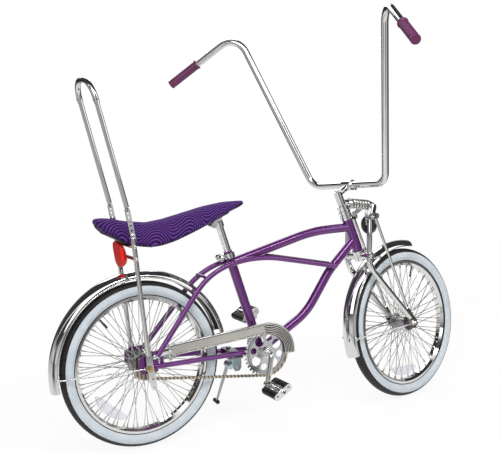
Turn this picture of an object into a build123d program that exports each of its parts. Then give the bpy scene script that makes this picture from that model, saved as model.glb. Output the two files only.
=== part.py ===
"""Chopper bicycle: a 20 inch cruiser with a springer fork, high bars, banana seat and sissy bar.

Everything is drawn in the bicycle's own upright frame, in millimetres. The rear axle is the zero
point, +X runs forward, +Y to the rider's left and +Z up. Pieces that steer are drawn straight ahead.
At the end the steered pieces are turned, and the whole bicycle is leaned over on to its side stand.
"""
import math
import os
from build123d import *

# Stance of the parked bicycle
lean_angle = 5.0
steer_angle = 14.8

# Wheels
wheelbase = 966.0
tyre_radius = 250.0
tyre_width = 44.0
bead_half_width = 13.0
tyre_height = 42.0
rim_depth = 14.0
rim_width = 32.0
rim_flange = 2.0
spokes_per_side = 36
spoke_width = 2.0
spoke_slant = 9.0
spoke_rim_offset = 4.0
seat_gap = 0.2

# Hubs and axles
front_flange_radius = 27.0
rear_flange_radius = 33.0
flange_width = 3.0
flange_offset = 28.0
front_barrel_radius = 15.0
rear_barrel_radius = 22.0
hub_end_offset = 36.0
axle_radius = 4.8
running_clearance = 0.4
cone_radius = 8.0
front_dropout_offset = 48.0
rear_dropout_offset = 57.5
dropout_thickness = 5.0
nut_radius = 9.0
nut_width = 7.0
eyelet_radius = 12.5
eyelet_width = 2.5

# Steering
head_angle = 69.0
fork_offset = 85.0
head_tube_radius = 16.5
head_tube_bottom = 268.0
head_tube_top = 375.0
cup_radius = 20.0
cup_height = 8.0
steerer_radius = 12.5
steerer_gap = 2.0
steerer_top = 425.0
crown_height = 247.0

# Frame tubes
crank_x = 402.0
crank_z = -14.0
shell_radius = 27.0
shell_half_width = 34.0
cup_width = 3.5
main_tube_radius = 14.0
seat_tube_radius = 14.5
seat_tube_top_x = 298.0
seat_tube_top_z = 311.0
seat_lug_z = 273.0
head_lug_z = 346.0
lower_lug_z = 304.0
clamp_z = 296.0
clamp_reach = 30.0
clamp_ball_radius = 10.5
cantilever_radius = 8.0
chainstay_radius = 8.0
chainstay_offset = 24.0
brake_arm_plane = 38.5
brake_arm_thickness = 3.0
brake_arm_length = 128.0
stay_end_offset = 57.5

# Drive
chain_pitch = 12.7
ring_teeth = 36
sprocket_teeth = 18
chain_line = 40.0
ring_thickness = 2.4
tooth_depth = 4.0
plate_thickness = 1.1
plate_inner_gap = 1.9
plate_pin_height = 4.2
plate_waist_height = 2.9
roller_radius = 3.9
crank_length = 92.0
crank_plane = 82.0
crank_elbow = 75.0
crank_rest_angle = -103.0
crank_spindle_radius = 11.0
crank_arm_radius = 8.5
crank_eye_radius = 12.0
crank_eye_half_width = 6.0

# Pedals
pedal_length = 86.0
pedal_width = 66.0
pedal_thickness = 22.0
pedal_block_width = 21.0
pedal_inner_face = 96.0
pedal_plate_width = 2.5
pedal_rest_tilt = 33.0
pedal_spindle_radius = 5.5
pedal_barrel_radius = 9.0
ring_hole_count = 4
ring_large_hole = (43.0, 15.5, 33.0)
ring_small_hole = (46.0, 10.5, 78.0)
ring_bead_radius = 62.0

# Mudguards
rear_fender_rise = 32.0
front_fender_rise = 29.0
fender_half_width = 26.0
fender_depth = 15.0
fender_skirt = 6.0
fender_wall = 1.5
rear_fender_span = (14.0, 190.0)
front_fender_span = (79.5, 196.0)
stay_rod_radius = 2.5

# Chainguard
guard_plane = 48.5
guard_wall = 1.5
guard_rib_rise = 1.0
guard_outer_radius = 95.0
guard_inner_radius = 62.0
guard_rear_x = 70.0
guard_rear_top = 57.0
guard_rear_bottom = 21.0
guard_lip = 7.0
guard_rib_count = 5
guard_rib_width = 3.0

# Springer fork
fork_leg_radius = 10.0
fork_rod_radius = 5.0
fork_head_setback = 178.0
fork_head_z = 363.0
fork_bend_setback = 194.0
fork_bend_z = 212.0
fork_leg_start_z = 244.0
fork_blade_end_radius = 6.0
fork_blade_radius = 9.0
fork_boss_radius = 13.5
fork_rod_head_setback = 157.0
fork_rod_head_z = 386.0
fork_cheek_half = 6.5
crown_bar_radius = 11.0
spring_radius = 17.5
spring_wire_radius = 3.6
spring_coils = 6
spring_rear_setback = 220.0
spring_rear_z = 423.0
spring_front_setback = 135.0
spring_front_z = 411.0
yoke_front_step = (10.0, -5.0)
yoke_front_half = 24.0
collar_rings = [
    # height above the upper cup, thickness, radius
    (0.0, 7.0, 19.0),
    (7.0, 4.0, 16.5),
    (11.0, 9.0, 20.0),
    (20.0, 4.0, 16.5),
    (24.0, 12.0, 18.5),
]

# Handlebar and stem
bar_radius = 11.0
bar_setback = 216.0
bar_z = 482.0
bar_bottom_half_width = 160.0
bar_elbow_step = (-139.0, 331.0, 535.0)
bar_end_step = (-269.0, 541.5, 388.0)
bar_bottom_bend = 48.0
bar_top_bend = 60.0
grip_radius = 15.5
grip_length = 115.0
stem_clamp_radius = 17.0
stem_clamp_half_width = 19.0

# Sissy bar and its struts
sissy_offset = 70.0
sissy_radius = 7.0
sissy_joint_x = -50.0
sissy_joint_z = 478.0
sissy_top_x = -140.0
sissy_top_z = 839.0
sissy_bend = 60.0
strut_strap_top_z = 385.0
strut_strap_x = -34.0
strut_tube_bottom_z = 40.0
strut_tube_bottom_x = -3.0
strut_foot_x = 12.0
strut_foot_z = -56.0
strut_thickness = 5.0
strut_width = 15.0
strut_hole_radius = 3.4
strut_hole_pitch = 13.0

# Seat: sections from rear to front
seat_sections = [
    # along x, underside z, top z, half width
    (-124.0, 428.0, 446.0, 24.0),
    (-98.0, 400.0, 444.0, 46.0),
    (-35.0, 367.0, 427.0, 56.0),
    (35.0, 353.0, 417.0, 58.0),
    (90.0, 359.0, 423.0, 58.0),
    (150.0, 378.0, 435.0, 56.0),
    (216.0, 402.0, 449.0, 50.0),
    (291.0, 433.0, 461.0, 38.0),
    (354.0, 454.0, 463.0, 15.0),
]
seat_underside_angle = 45.0
pan_half_width = 31.0
pan_thickness = 2.5
soft_gap = 0.3
seat_post_radius = 11.0
seat_post_top_z = 404.0
seat_clip_z = 395.0
seat_clip_reach = 22.0

# Reflectors
rear_reflector_width = 60.0
rear_reflector_height = 76.0
reflector_depth = 12.0
front_reflector_radius = 30.0
front_reflector_setback = 137.4
front_reflector_z = 345.0
reflector_dome_depth = 21.0
reflector_lean = 0.135

# Side stand
stand_x = 300.0
stand_y = 27.0
stand_z = -50.0
stand_foot_x = 343.0
stand_foot_y = 205.0
stand_leg_radius = 6.5
stand_foot_radius = 9.0
stand_foot_length = 34.0
stand_eye_radius = 11.0
stand_eye_half_width = 7.0
stand_pin_radius = 5.0
stand_axis_tilt = (-0.2, 0.94, 0.28)

os.makedirs("parts", exist_ok=True)

# Values worked out from the driving dimensions
axis_slope = math.tan(math.radians(head_angle))
axis_foot = wheelbase - fork_offset / math.sin(math.radians(head_angle))
steer_up = Vector(-math.cos(math.radians(head_angle)), 0, math.sin(math.radians(head_angle)))
steering_axis = Axis((axis_foot, 0, 0), steer_up)
ring_radius = chain_pitch / 2 / math.sin(math.pi / ring_teeth)
sprocket_radius = chain_pitch / 2 / math.sin(math.pi / sprocket_teeth)
rim_outer_radius = tyre_radius - tyre_height
rim_inner_radius = rim_outer_radius - rim_depth
tyre_section = tyre_width / 2
tyre_centre = tyre_radius - tyre_section
rear_fender_radius = tyre_radius + rear_fender_rise
front_fender_radius = tyre_radius + front_fender_rise
front_reflector_x = wheelbase - front_reflector_setback
fork_head_x = wheelbase - fork_head_setback
fork_bend_x = wheelbase - fork_bend_setback
fork_rod_head_x = wheelbase - fork_rod_head_setback
spring_rear_x = wheelbase - spring_rear_setback
spring_front_x = wheelbase - spring_front_setback
bar_x = wheelbase - bar_setback
bar_elbow = (bar_x + bar_elbow_step[0], bar_elbow_step[1], bar_z + bar_elbow_step[2])
bar_end = (bar_x + bar_end_step[0], bar_end_step[1], bar_z + bar_end_step[2])
yoke_front_x = spring_front_x + yoke_front_step[0]
yoke_front_z = spring_front_z + yoke_front_step[1]
lean = math.radians(lean_angle)
sides = ((-1, "right"), (1, "left"))


def on_axis(height):
    """Point of the steering axis at a height above the rear axle."""
    return Vector(axis_foot - height / axis_slope, 0, height)


def between(start, end, share, rise):
    """Point at a share of the way from start to end, raised by a height."""
    return start + (end - start) * share + Vector(0, 0, rise)


def tube(points, bends, radius, mode=Mode.ADD):
    """Round tube along straight runs joined by bends."""
    with BuildLine() as path:
        if len(points) == 2:
            Line(*points)
        else:
            FilletPolyline(*points, radius=bends)
    with BuildSketch(Plane(origin=path.line @ 0, z_dir=path.line % 0)) as section:
        Circle(radius)
    sweep(section.sketch, path=path.line, mode=mode)


def rod(start, end, radius, mode=Mode.ADD):
    """Straight round bar between two points."""
    run = Vector(*end) - Vector(*start)
    with BuildSketch(Plane(origin=start, z_dir=run)) as section:
        Circle(radius)
    extrude(section.sketch, amount=run.length, mode=mode)


def side_plane(y):
    """Plane seen from the right side, X to the right and Z up, at a distance to the left."""
    return Plane(origin=(0, y, 0), x_dir=(1, 0, 0), z_dir=(0, -1, 0))


def spun(centre_x, outline, mode=Mode.ADD):
    """Ring or disc about a wheel's axle from (radius, sideways) corners."""
    with BuildSketch(Plane(origin=(centre_x, 0, 0))) as section:
        Polygon(*outline, align=None)
    revolve(section.sketch, axis=Axis((centre_x, 0, 0), (0, 1, 0)), mode=mode)


def spindle(start, end, end_radius, middle_radius):
    """Round bar that swells between its ends."""
    run = Vector(*end) - Vector(*start)
    section = Plane(origin=start, x_dir=run, z_dir=(0, 1, 0))
    with BuildSketch(section) as half:
        with BuildLine():
            ThreePointArc((0, end_radius), (run.length / 2, middle_radius), (run.length, end_radius))
            Polyline((run.length, end_radius), (run.length, 0), (0, 0), (0, end_radius))
        make_face()
    revolve(half.sketch, axis=Axis(start, run))


def crossbar(x, z, y_from, y_to, radius, mode=Mode.ADD):
    """Round bar that runs sideways."""
    rod((x, y_from, z), (x, y_to, z), radius, mode)


def tyre(centre_x):
    with BuildPart() as piece:
        with BuildSketch(Plane(origin=(centre_x, 0, 0))) as section:
            with Locations((tyre_centre, 0)):
                Circle(tyre_section)
            Polygon(
                (rim_outer_radius - 3, -bead_half_width),
                (rim_outer_radius + 0.5, -bead_half_width - 0.5),
                (tyre_centre - 6, -tyre_section + 0.9),
                (tyre_centre - 6, tyre_section - 0.9),
                (rim_outer_radius + 0.5, bead_half_width + 0.5),
                (rim_outer_radius - 3, bead_half_width),
                align=None,
            )
        revolve(section.sketch, axis=Axis((centre_x, 0, 0), (0, 1, 0)))
    return piece


def rim(centre_x):
    half = rim_width / 2
    with BuildPart() as piece:
        spun(centre_x, [
            (rim_outer_radius, half), (rim_outer_radius, half - rim_flange),
            (rim_outer_radius - 6, half - rim_flange - 0.8), (rim_outer_radius - 8, 0),
            (rim_outer_radius - 6, -half + rim_flange + 0.8), (rim_outer_radius, -half + rim_flange),
            (rim_outer_radius, -half), (rim_outer_radius - 7, -half),
            (rim_inner_radius, -half / 2), (rim_inner_radius, half / 2), (rim_outer_radius - 7, half),
        ])
    return piece


def spokes(centre_x, flange_radius):
    """Two cones of spokes, slanted opposite ways, from the hub flanges to the rim."""
    with BuildPart() as piece:
        for side, slant in ((-1, spoke_slant), (1, -spoke_slant)):
            turn = math.radians(slant)
            start = Vector(flange_radius + 2 * seat_gap, 0, side * flange_offset)
            reach = rim_inner_radius - seat_gap
            end = Vector(reach * math.cos(turn), reach * math.sin(turn), side * spoke_rim_offset)
            run = end - start
            with BuildPart(mode=Mode.PRIVATE) as single:
                with BuildSketch(Plane(origin=start, z_dir=run)) as section:
                    Rectangle(spoke_width, spoke_width)
                extrude(section.sketch, amount=run.length)
            phase = 0 if side < 0 else 180 / spokes_per_side
            with Locations(Plane(origin=(centre_x, 0, 0), x_dir=(1, 0, 0), z_dir=(0, 1, 0))):
                with PolarLocations(0, spokes_per_side, start_angle=phase):
                    add(single.part)
    return piece


def hub(centre_x, flange_radius, barrel_radius):
    face = flange_offset + flange_width / 2
    back = flange_offset - flange_width / 2
    with BuildPart() as piece:
        spun(centre_x, [
            (axle_radius + running_clearance, -hub_end_offset), (cone_radius + 3, -hub_end_offset),
            (cone_radius + 3, -face), (flange_radius, -face), (flange_radius, -back),
            (barrel_radius, -back + 4), (barrel_radius, back - 4), (flange_radius, back),
            (flange_radius, face), (cone_radius + 3, face), (cone_radius + 3, hub_end_offset),
            (axle_radius + running_clearance, hub_end_offset),
        ])
    return piece


def axle(centre_x, dropout_offset, nut_start):
    inner = dropout_offset - dropout_thickness / 2 - seat_gap / 2
    outer = nut_start + nut_width
    cone = hub_end_offset + running_clearance
    with BuildPart() as piece:
        crossbar(centre_x, 0, -outer - 4, outer + 4, axle_radius)
        for side, _ in sides:
            crossbar(centre_x, 0, side * cone, side * inner, cone_radius)
            with BuildSketch(side_plane(side * nut_start)) as section:
                with Locations((centre_x, 0)):
                    RegularPolygon(nut_radius, 6)
            extrude(section.sketch, amount=-side * nut_width)
    return piece


def fender(centre_x, crest, span):
    edge = crest - fender_depth
    with BuildPart() as piece:
        start = math.radians(span[0])
        across = Plane(origin=(centre_x, 0, 0), x_dir=(math.cos(start), 0, math.sin(start)),
                       z_dir=(-math.sin(start), 0, math.cos(start)))
        with BuildSketch(across) as section:
            with BuildLine():
                outside = fender_half_width
                inside = fender_half_width - fender_wall
                hem = edge - fender_skirt
                ThreePointArc((edge, -outside), (crest, 0), (edge, outside))
                Polyline((edge, outside), (hem, outside), (hem, inside), (edge, inside))
                ThreePointArc((edge, inside), (crest - fender_wall, 0), (edge, -inside))
                Polyline((edge, -inside), (hem, -inside), (hem, -outside), (edge, -outside))
            make_face()
        revolve(section.sketch, axis=Axis((centre_x, 0, 0), (0, -1, 0)), revolution_arc=span[1] - span[0])
    return piece


def fender_stays(centre_x, eyelet_offset, end_x, end_z):
    """One wire each side from an eyelet on the axle to the mudguard's edge."""
    with BuildPart() as piece:
        for side, _ in sides:
            crossbar(centre_x, 0, side * eyelet_offset, side * (eyelet_offset + eyelet_width), eyelet_radius)
            rod_plane = side * (eyelet_offset + stay_rod_radius + seat_gap)
            edge_plane = side * (fender_half_width + stay_rod_radius + seat_gap)
            tube([(centre_x - nut_radius - 2, rod_plane, 0), (centre_x - 42, rod_plane, end_z / 6),
                  (end_x, edge_plane, end_z)], [60], stay_rod_radius)
        crossbar(centre_x, 0, -2 * eyelet_offset, 2 * eyelet_offset, axle_radius + seat_gap, Mode.SUBTRACT)
    return piece


# Wheels
front_tyre = tyre(wheelbase)
rear_tyre = tyre(0)
front_rim = rim(wheelbase)
rear_rim = rim(0)
front_spokes = spokes(wheelbase, front_flange_radius)
rear_spokes = spokes(0, rear_flange_radius)
front_hub = hub(wheelbase, front_flange_radius, front_barrel_radius)
rear_hub = hub(0, rear_flange_radius, rear_barrel_radius)

# Axles, with what is clamped between dropout and nut
front_eyelet = front_dropout_offset + dropout_thickness / 2 + seat_gap / 2
front_nut = front_eyelet + eyelet_width + seat_gap / 2
rear_eyelet = rear_dropout_offset + dropout_thickness / 2 + seat_gap / 2
rear_nut = sissy_offset + strut_thickness / 2 + seat_gap / 2
front_axle = axle(wheelbase, front_dropout_offset, front_nut)
rear_axle = axle(0, rear_dropout_offset, rear_nut)

# Head tube and headset
with BuildPart() as head_tube:
    rod(on_axis(head_tube_bottom), on_axis(head_tube_top), head_tube_radius)
    rod(on_axis(head_tube_bottom - 5), on_axis(head_tube_top + 5), steerer_radius + steerer_gap,
        Mode.SUBTRACT)

with BuildPart() as headset_cups:
    for low in (head_tube_bottom - cup_height, head_tube_top):
        rod(on_axis(low), on_axis(low + cup_height), cup_radius)
    rod(on_axis(head_tube_bottom - 20), on_axis(head_tube_top + 20),
        steerer_radius + running_clearance, Mode.SUBTRACT)

# Bottom bracket
with BuildPart() as bottom_bracket:
    crossbar(crank_x, crank_z, -shell_half_width, shell_half_width, shell_radius)
    crossbar(crank_x, crank_z, -shell_half_width, shell_half_width, shell_radius - 5, Mode.SUBTRACT)

with BuildPart() as bottom_bracket_cups:
    for side, _ in sides:
        crossbar(crank_x, crank_z, side * shell_half_width, side * (shell_half_width + cup_width),
                 shell_radius - 2)
    crossbar(crank_x, crank_z, -2 * shell_half_width, 2 * shell_half_width,
             crank_spindle_radius + running_clearance, Mode.SUBTRACT)

# Seat tube, top tube and down tube
seat_tube_run = Vector(seat_tube_top_x - crank_x, 0, seat_tube_top_z - crank_z)


def on_seat_tube(height):
    """Point of the seat tube's centre line at a height above the rear axle."""
    share = (height - crank_z) / seat_tube_run.Z
    return Vector(crank_x + share * seat_tube_run.X, 0, height)


crank_centre = Vector(crank_x, 0, crank_z)
seat_lug = on_seat_tube(seat_lug_z)
head_lug = on_axis(head_lug_z)
lower_lug = on_axis(lower_lug_z)
cantilever_front = between(crank_centre, lower_lug, 0.7636, -0.8)
cantilever_points = [
    # along x, sideways, height
    (cantilever_front.X, 22.7, cantilever_front.Z),
    (390.0, 22.7, 290.0),
    (222.0, 30.0, 260.0),
    (30.0, stay_end_offset, 30.0),
]
cantilever_bends = [420.0, 220.0]
lug_z = 268.0
lug_radius = 7.0
lug_half_length = 22.0

with BuildPart() as seat_tube:
    rod(on_seat_tube(crank_z), on_seat_tube(seat_tube_top_z), seat_tube_radius)
    lug = on_seat_tube(lug_z)
    crossbar(lug.X, lug.Z, -lug_half_length, lug_half_length, lug_radius)
    for side, _ in sides:
        tube([(x, side * y, z) for x, y, z in cantilever_points], cantilever_bends,
             cantilever_radius + seat_gap / 2, Mode.SUBTRACT)
    crossbar(crank_x, crank_z, -shell_half_width, shell_half_width, shell_radius + seat_gap / 2,
             Mode.SUBTRACT)
    rod(on_seat_tube(250), on_seat_tube(seat_tube_top_z + 5), seat_post_radius + seat_gap / 2, Mode.SUBTRACT)

# Clamp round the top of the seat tube, with its bolt behind
clamp_point = on_seat_tube(clamp_z)
clamp_bolt = clamp_point + Vector(-clamp_reach, 0, -4)
with BuildPart() as seat_clamp:
    rod(on_seat_tube(clamp_z - 6), on_seat_tube(clamp_z + 10), seat_tube_radius + 3)
    with BuildSketch(side_plane(8)) as ears:
        Polygon((clamp_bolt.X - 5, clamp_bolt.Z - 7), (clamp_point.X, clamp_bolt.Z - 4),
                (clamp_point.X, clamp_bolt.Z + 9), (clamp_bolt.X - 5, clamp_bolt.Z + 7), align=None)
    extrude(ears.sketch, amount=16)
    for side, _ in sides:
        with Locations((clamp_bolt.X, side * 11, clamp_bolt.Z)):
            Sphere(clamp_ball_radius)
    rod(on_seat_tube(200), on_seat_tube(clamp_z + 40), seat_tube_radius + seat_gap / 2, Mode.SUBTRACT)

with BuildPart() as top_tube:
    top_run = head_lug - seat_lug
    tube([head_lug, between(seat_lug, head_lug, 0.6664, 22.4), seat_lug], [1.14 * top_run.length],
         main_tube_radius)
    rod(on_axis(300), on_axis(400), head_tube_radius + seat_gap / 2, Mode.SUBTRACT)
    rod(on_seat_tube(150), on_seat_tube(seat_tube_top_z + 60), seat_tube_radius + seat_gap / 2,
        Mode.SUBTRACT)
    crossbar(lug.X, lug.Z, -lug_half_length, lug_half_length, lug_radius + seat_gap / 2, Mode.SUBTRACT)

with BuildPart() as down_tube:
    down_run = lower_lug - crank_centre
    down_bend = 0.419 * down_run.length
    tube([lower_lug, between(crank_centre, lower_lug, 0.7243, -6.3),
          between(crank_centre, lower_lug, 0.48, -54.7), crank_centre], [down_bend, down_bend],
         main_tube_radius)
    rod(on_axis(230), on_axis(400), head_tube_radius + seat_gap / 2, Mode.SUBTRACT)
    crossbar(crank_x, crank_z, -shell_half_width, shell_half_width, shell_radius + seat_gap / 2,
             Mode.SUBTRACT)

# Cantilever tubes: from the down tube past the seat tube to the rear dropouts
cantilever_tubes = {}
for side, name in sides:
    with BuildPart() as piece:
        tube([(x, side * y, z) for x, y, z in cantilever_points], cantilever_bends, cantilever_radius)
    cantilever_tubes[name] = piece

# Chainstays with their dropout plates
chainstays = {}
for side, name in sides:
    y_end = side * rear_dropout_offset
    with BuildPart() as piece:
        tube([(crank_x - 18, side * chainstay_offset, -13), (322, side * chainstay_offset, -9),
              (60, y_end, 1), (20, y_end, 0)], [120, 90], chainstay_radius)
        crossbar(crank_x, crank_z, -shell_half_width - 5, shell_half_width + 5,
                 shell_radius + seat_gap / 2, Mode.SUBTRACT)
        with BuildSketch(side_plane(y_end - dropout_thickness / 2)) as plate:
            with BuildLine():
                Polyline((-29, 30), (-10, 38), (26, 42), (34, 8), (30, -14), (-20, -17), (-30, 0),
                         close=True)
            make_face()
            Circle(axle_radius + seat_gap, mode=Mode.SUBTRACT)
        extrude(plate.sketch, amount=-dropout_thickness)
        crossbar(0, 0, -90, 90, axle_radius + seat_gap, Mode.SUBTRACT)
    chainstays[name] = piece

for side, name in sides:
    with cantilever_tubes[name]:
        slot_face = side * rear_dropout_offset - dropout_thickness / 2 - seat_gap / 2
        with BuildSketch(side_plane(slot_face)) as slot:
            Polygon((-32, 33), (-10, 38.1), (26.1, 42.1), (36, 6), (0, -40), (-60, -40), align=None)
        extrude(slot.sketch, amount=-dropout_thickness - seat_gap, mode=Mode.SUBTRACT)

# Arm of the back-pedal brake, from the axle's cone to a band round the left chainstay
with BuildPart() as brake_arm:
    with BuildSketch(side_plane(brake_arm_plane + brake_arm_thickness)) as strip:
        Circle(15)
        Polygon((0, 9), (brake_arm_length, 6), (brake_arm_length, -9), (0, -9), align=None)
        Circle(cone_radius + seat_gap, mode=Mode.SUBTRACT)
    extrude(strip.sketch, amount=brake_arm_thickness)
    stay_run = Vector(322 - 60, chainstay_offset - stay_end_offset, -10).normalized()
    stay_start = Vector(60, stay_end_offset, 1)
    band_start = stay_start + stay_run * (brake_arm_length - 60 - 7)
    rod(band_start, band_start + stay_run * 12, chainstay_radius + 2)
    rod(stay_start, stay_start + stay_run * 120, chainstay_radius + seat_gap / 2, Mode.SUBTRACT)

# Bridges between the twin tubes
with BuildPart() as stay_bridges:
    crossbar(205, 243.5, -25.6, 25.6, 5)
    crossbar(318, -8.6, -15.7, 15.7, 5)

# Chainring, chain and sprocket
def toothed_disc(centre_x, centre_z, teeth, pitch_radius):
    """Outline of a toothed wheel, four corners for each tooth."""
    step = 2 * math.pi / teeth
    corners = []
    for tooth in range(teeth):
        for share, radius in ((-0.36, pitch_radius - tooth_depth), (-0.14, pitch_radius + tooth_depth),
                              (0.14, pitch_radius + tooth_depth), (0.36, pitch_radius - tooth_depth)):
            turn = (tooth + share) * step
            corners.append((centre_x + radius * math.cos(turn), centre_z + radius * math.sin(turn)))
    return corners


with BuildPart() as chainring:
    with BuildSketch(side_plane(-chain_line + ring_thickness / 2)) as face:
        Polygon(*toothed_disc(crank_x, crank_z, ring_teeth, ring_radius), align=None)
        with Locations((crank_x, crank_z)):
            Circle(crank_spindle_radius + seat_gap / 2, mode=Mode.SUBTRACT)
            for centre_radius, hole_radius, start in (ring_large_hole, ring_small_hole):
                with PolarLocations(centre_radius, ring_hole_count, start_angle=start):
                    Circle(hole_radius, mode=Mode.SUBTRACT)
    extrude(face.sketch, amount=ring_thickness)
    with BuildSketch(side_plane(-chain_line - ring_thickness / 2)) as bead:
        with Locations((crank_x, crank_z)):
            Circle(ring_bead_radius + 1.5)
            Circle(ring_bead_radius - 1.5, mode=Mode.SUBTRACT)
    extrude(bead.sketch, amount=1.2)

with BuildPart() as rear_sprocket:
    with BuildSketch(side_plane(-chain_line + ring_thickness / 2)) as face:
        Polygon(*toothed_disc(0, 0, sprocket_teeth, sprocket_radius), align=None)
    extrude(face.sketch, amount=ring_thickness)
    crossbar(0, 0, -hub_end_offset - seat_gap - 1, -chain_line - 6, 15)
    crossbar(0, 0, -60, 0, cone_radius + running_clearance, Mode.SUBTRACT)

centre_distance = math.hypot(crank_x, crank_z)
wrap_shift = math.asin((ring_radius - sprocket_radius) / centre_distance)
centre_slope = math.atan2(crank_z, crank_x)
straight_run = centre_distance * math.cos(wrap_shift)
ring_wrap = ring_radius * (math.pi + 2 * wrap_shift)
sprocket_wrap = sprocket_radius * (math.pi - 2 * wrap_shift)
loop_length = 2 * straight_run + ring_wrap + sprocket_wrap
link_count = round(loop_length / chain_pitch)


def chain_point(distance, rise):
    """Point of the chain loop at a distance round it, rise being the height above its pins.

    The loop starts at the top of the sprocket, runs forward over the ring and comes back below.
    """
    top_turn = centre_slope + math.pi / 2 + wrap_shift
    if distance < straight_run:
        base, radius, turn, along = (0, 0), sprocket_radius, top_turn, distance
    elif distance < straight_run + ring_wrap:
        turn = top_turn - (distance - straight_run) / ring_radius
        base, radius, along = (crank_x, crank_z), ring_radius, 0
    elif distance < 2 * straight_run + ring_wrap:
        turn = top_turn - ring_wrap / ring_radius
        base, radius, along = (crank_x, crank_z), ring_radius, distance - straight_run - ring_wrap
    else:
        left = distance - 2 * straight_run - ring_wrap
        turn = top_turn - ring_wrap / ring_radius - left / sprocket_radius
        base, radius, along = (0, 0), sprocket_radius, 0
    x = base[0] + (radius + rise) * math.cos(turn) + along * math.sin(turn)
    z = base[1] + (radius + rise) * math.sin(turn) - along * math.cos(turn)
    return x, z


def on_straight(distance):
    """True where the chain runs clear of both toothed wheels."""
    margin = 2.5 * chain_pitch
    upper = margin < distance < straight_run - margin
    lower = margin < distance - straight_run - ring_wrap < straight_run - margin
    return upper or lower


link_step = loop_length / link_count
with BuildPart() as chain:
    plate_edges = {}
    for sign in (-1, 1):
        edge = []
        for link in range(link_count):
            edge.append(chain_point(link * link_step, sign * plate_pin_height))
            edge.append(chain_point((link + 0.5) * link_step, sign * plate_waist_height))
        plate_edges[sign] = edge
    for offset in (-plate_inner_gap - plate_thickness, plate_inner_gap):
        with BuildSketch(side_plane(-chain_line - offset)) as face:
            Polygon(*plate_edges[1], align=None)
            Polygon(*plate_edges[-1], align=None, mode=Mode.SUBTRACT)
        extrude(face.sketch, amount=plate_thickness)
    with BuildSketch(side_plane(-chain_line + plate_inner_gap)) as face:
        for link in range(link_count):
            if on_straight(link * link_step):
                with Locations(chain_point(link * link_step, 0)):
                    RegularPolygon(plate_waist_height, 6)
    extrude(face.sketch, amount=2 * plate_inner_gap)

# Crank with its pedal spindles
rest = math.radians(crank_rest_angle)
eye_x = crank_x + crank_length * math.cos(rest)
eye_z = crank_z + crank_length * math.sin(rest)
far_eye_x = 2 * crank_x - eye_x
far_eye_z = 2 * crank_z - eye_z
spindle_end = pedal_inner_face + pedal_length + 2

with BuildPart() as crank:
    tube([(eye_x, -crank_plane, eye_z), (crank_x, -crank_elbow, crank_z),
          (crank_x, crank_elbow, crank_z), (far_eye_x, crank_plane, far_eye_z)], [11, 11], crank_arm_radius)
    crossbar(crank_x, crank_z, -chain_line - 7, shell_half_width + cup_width + 6, crank_spindle_radius)
    crossbar(crank_x, crank_z, -chain_line - ring_thickness / 2 - seat_gap / 2, -chain_line - 7, 17)
    crossbar(crank_x, crank_z, shell_half_width + cup_width + running_clearance,
             shell_half_width + cup_width + 5, 17)
    for side, x, z in ((-1, eye_x, eye_z), (1, far_eye_x, far_eye_z)):
        crossbar(x, z, side * (crank_plane - crank_eye_half_width),
                 side * (crank_plane + crank_eye_half_width), crank_eye_radius)
        crossbar(x, z, side * crank_plane, side * spindle_end, pedal_spindle_radius)

# Pedals: a cage of two plates on a barrel, with a pair of blocks
pedal_cages = {}
pedal_blocks = {}
for side, name, x, z in ((-1, "right", eye_x, eye_z), (1, "left", far_eye_x, far_eye_z)):
    tilt = math.radians(pedal_rest_tilt)
    outer_face = pedal_inner_face + pedal_length
    with BuildPart() as cage:
        crossbar(x, z, side * pedal_inner_face, side * outer_face, pedal_barrel_radius)
        for plate_y in (pedal_inner_face, outer_face - pedal_plate_width):
            facing = Plane(origin=(x, side * plate_y, z), x_dir=(math.cos(tilt), 0, math.sin(tilt)),
                           z_dir=(0, side, 0))
            with BuildSketch(facing) as face:
                SlotOverall(pedal_width, pedal_thickness)
            extrude(face.sketch, amount=pedal_plate_width)
        crossbar(x, z, side * (pedal_inner_face - 1), side * (outer_face + 1),
                 pedal_spindle_radius + running_clearance, Mode.SUBTRACT)
    with BuildPart() as blocks:
        start = pedal_inner_face + pedal_plate_width + seat_gap
        facing = Plane(origin=(x, side * start, z), x_dir=(math.cos(tilt), 0, math.sin(tilt)),
                       z_dir=(0, side, 0))
        with BuildSketch(facing) as face:
            with GridLocations(pedal_width - pedal_block_width - 1, 0, 2, 1):
                RectangleRounded(pedal_block_width, pedal_thickness - 1, 3)
        extrude(face.sketch, amount=pedal_length - 2 * (pedal_plate_width + seat_gap))
    pedal_cages[name] = cage
    pedal_blocks[name] = blocks

# Mudguards and their wire stays
rear_fender = fender(0, rear_fender_radius, rear_fender_span)
front_fender = fender(wheelbase, front_fender_radius, front_fender_span)
rear_fender_stays = fender_stays(0, rear_eyelet, -264, -6)
front_fender_stays = fender_stays(wheelbase, front_eyelet, wheelbase - 260, -14)

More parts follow.
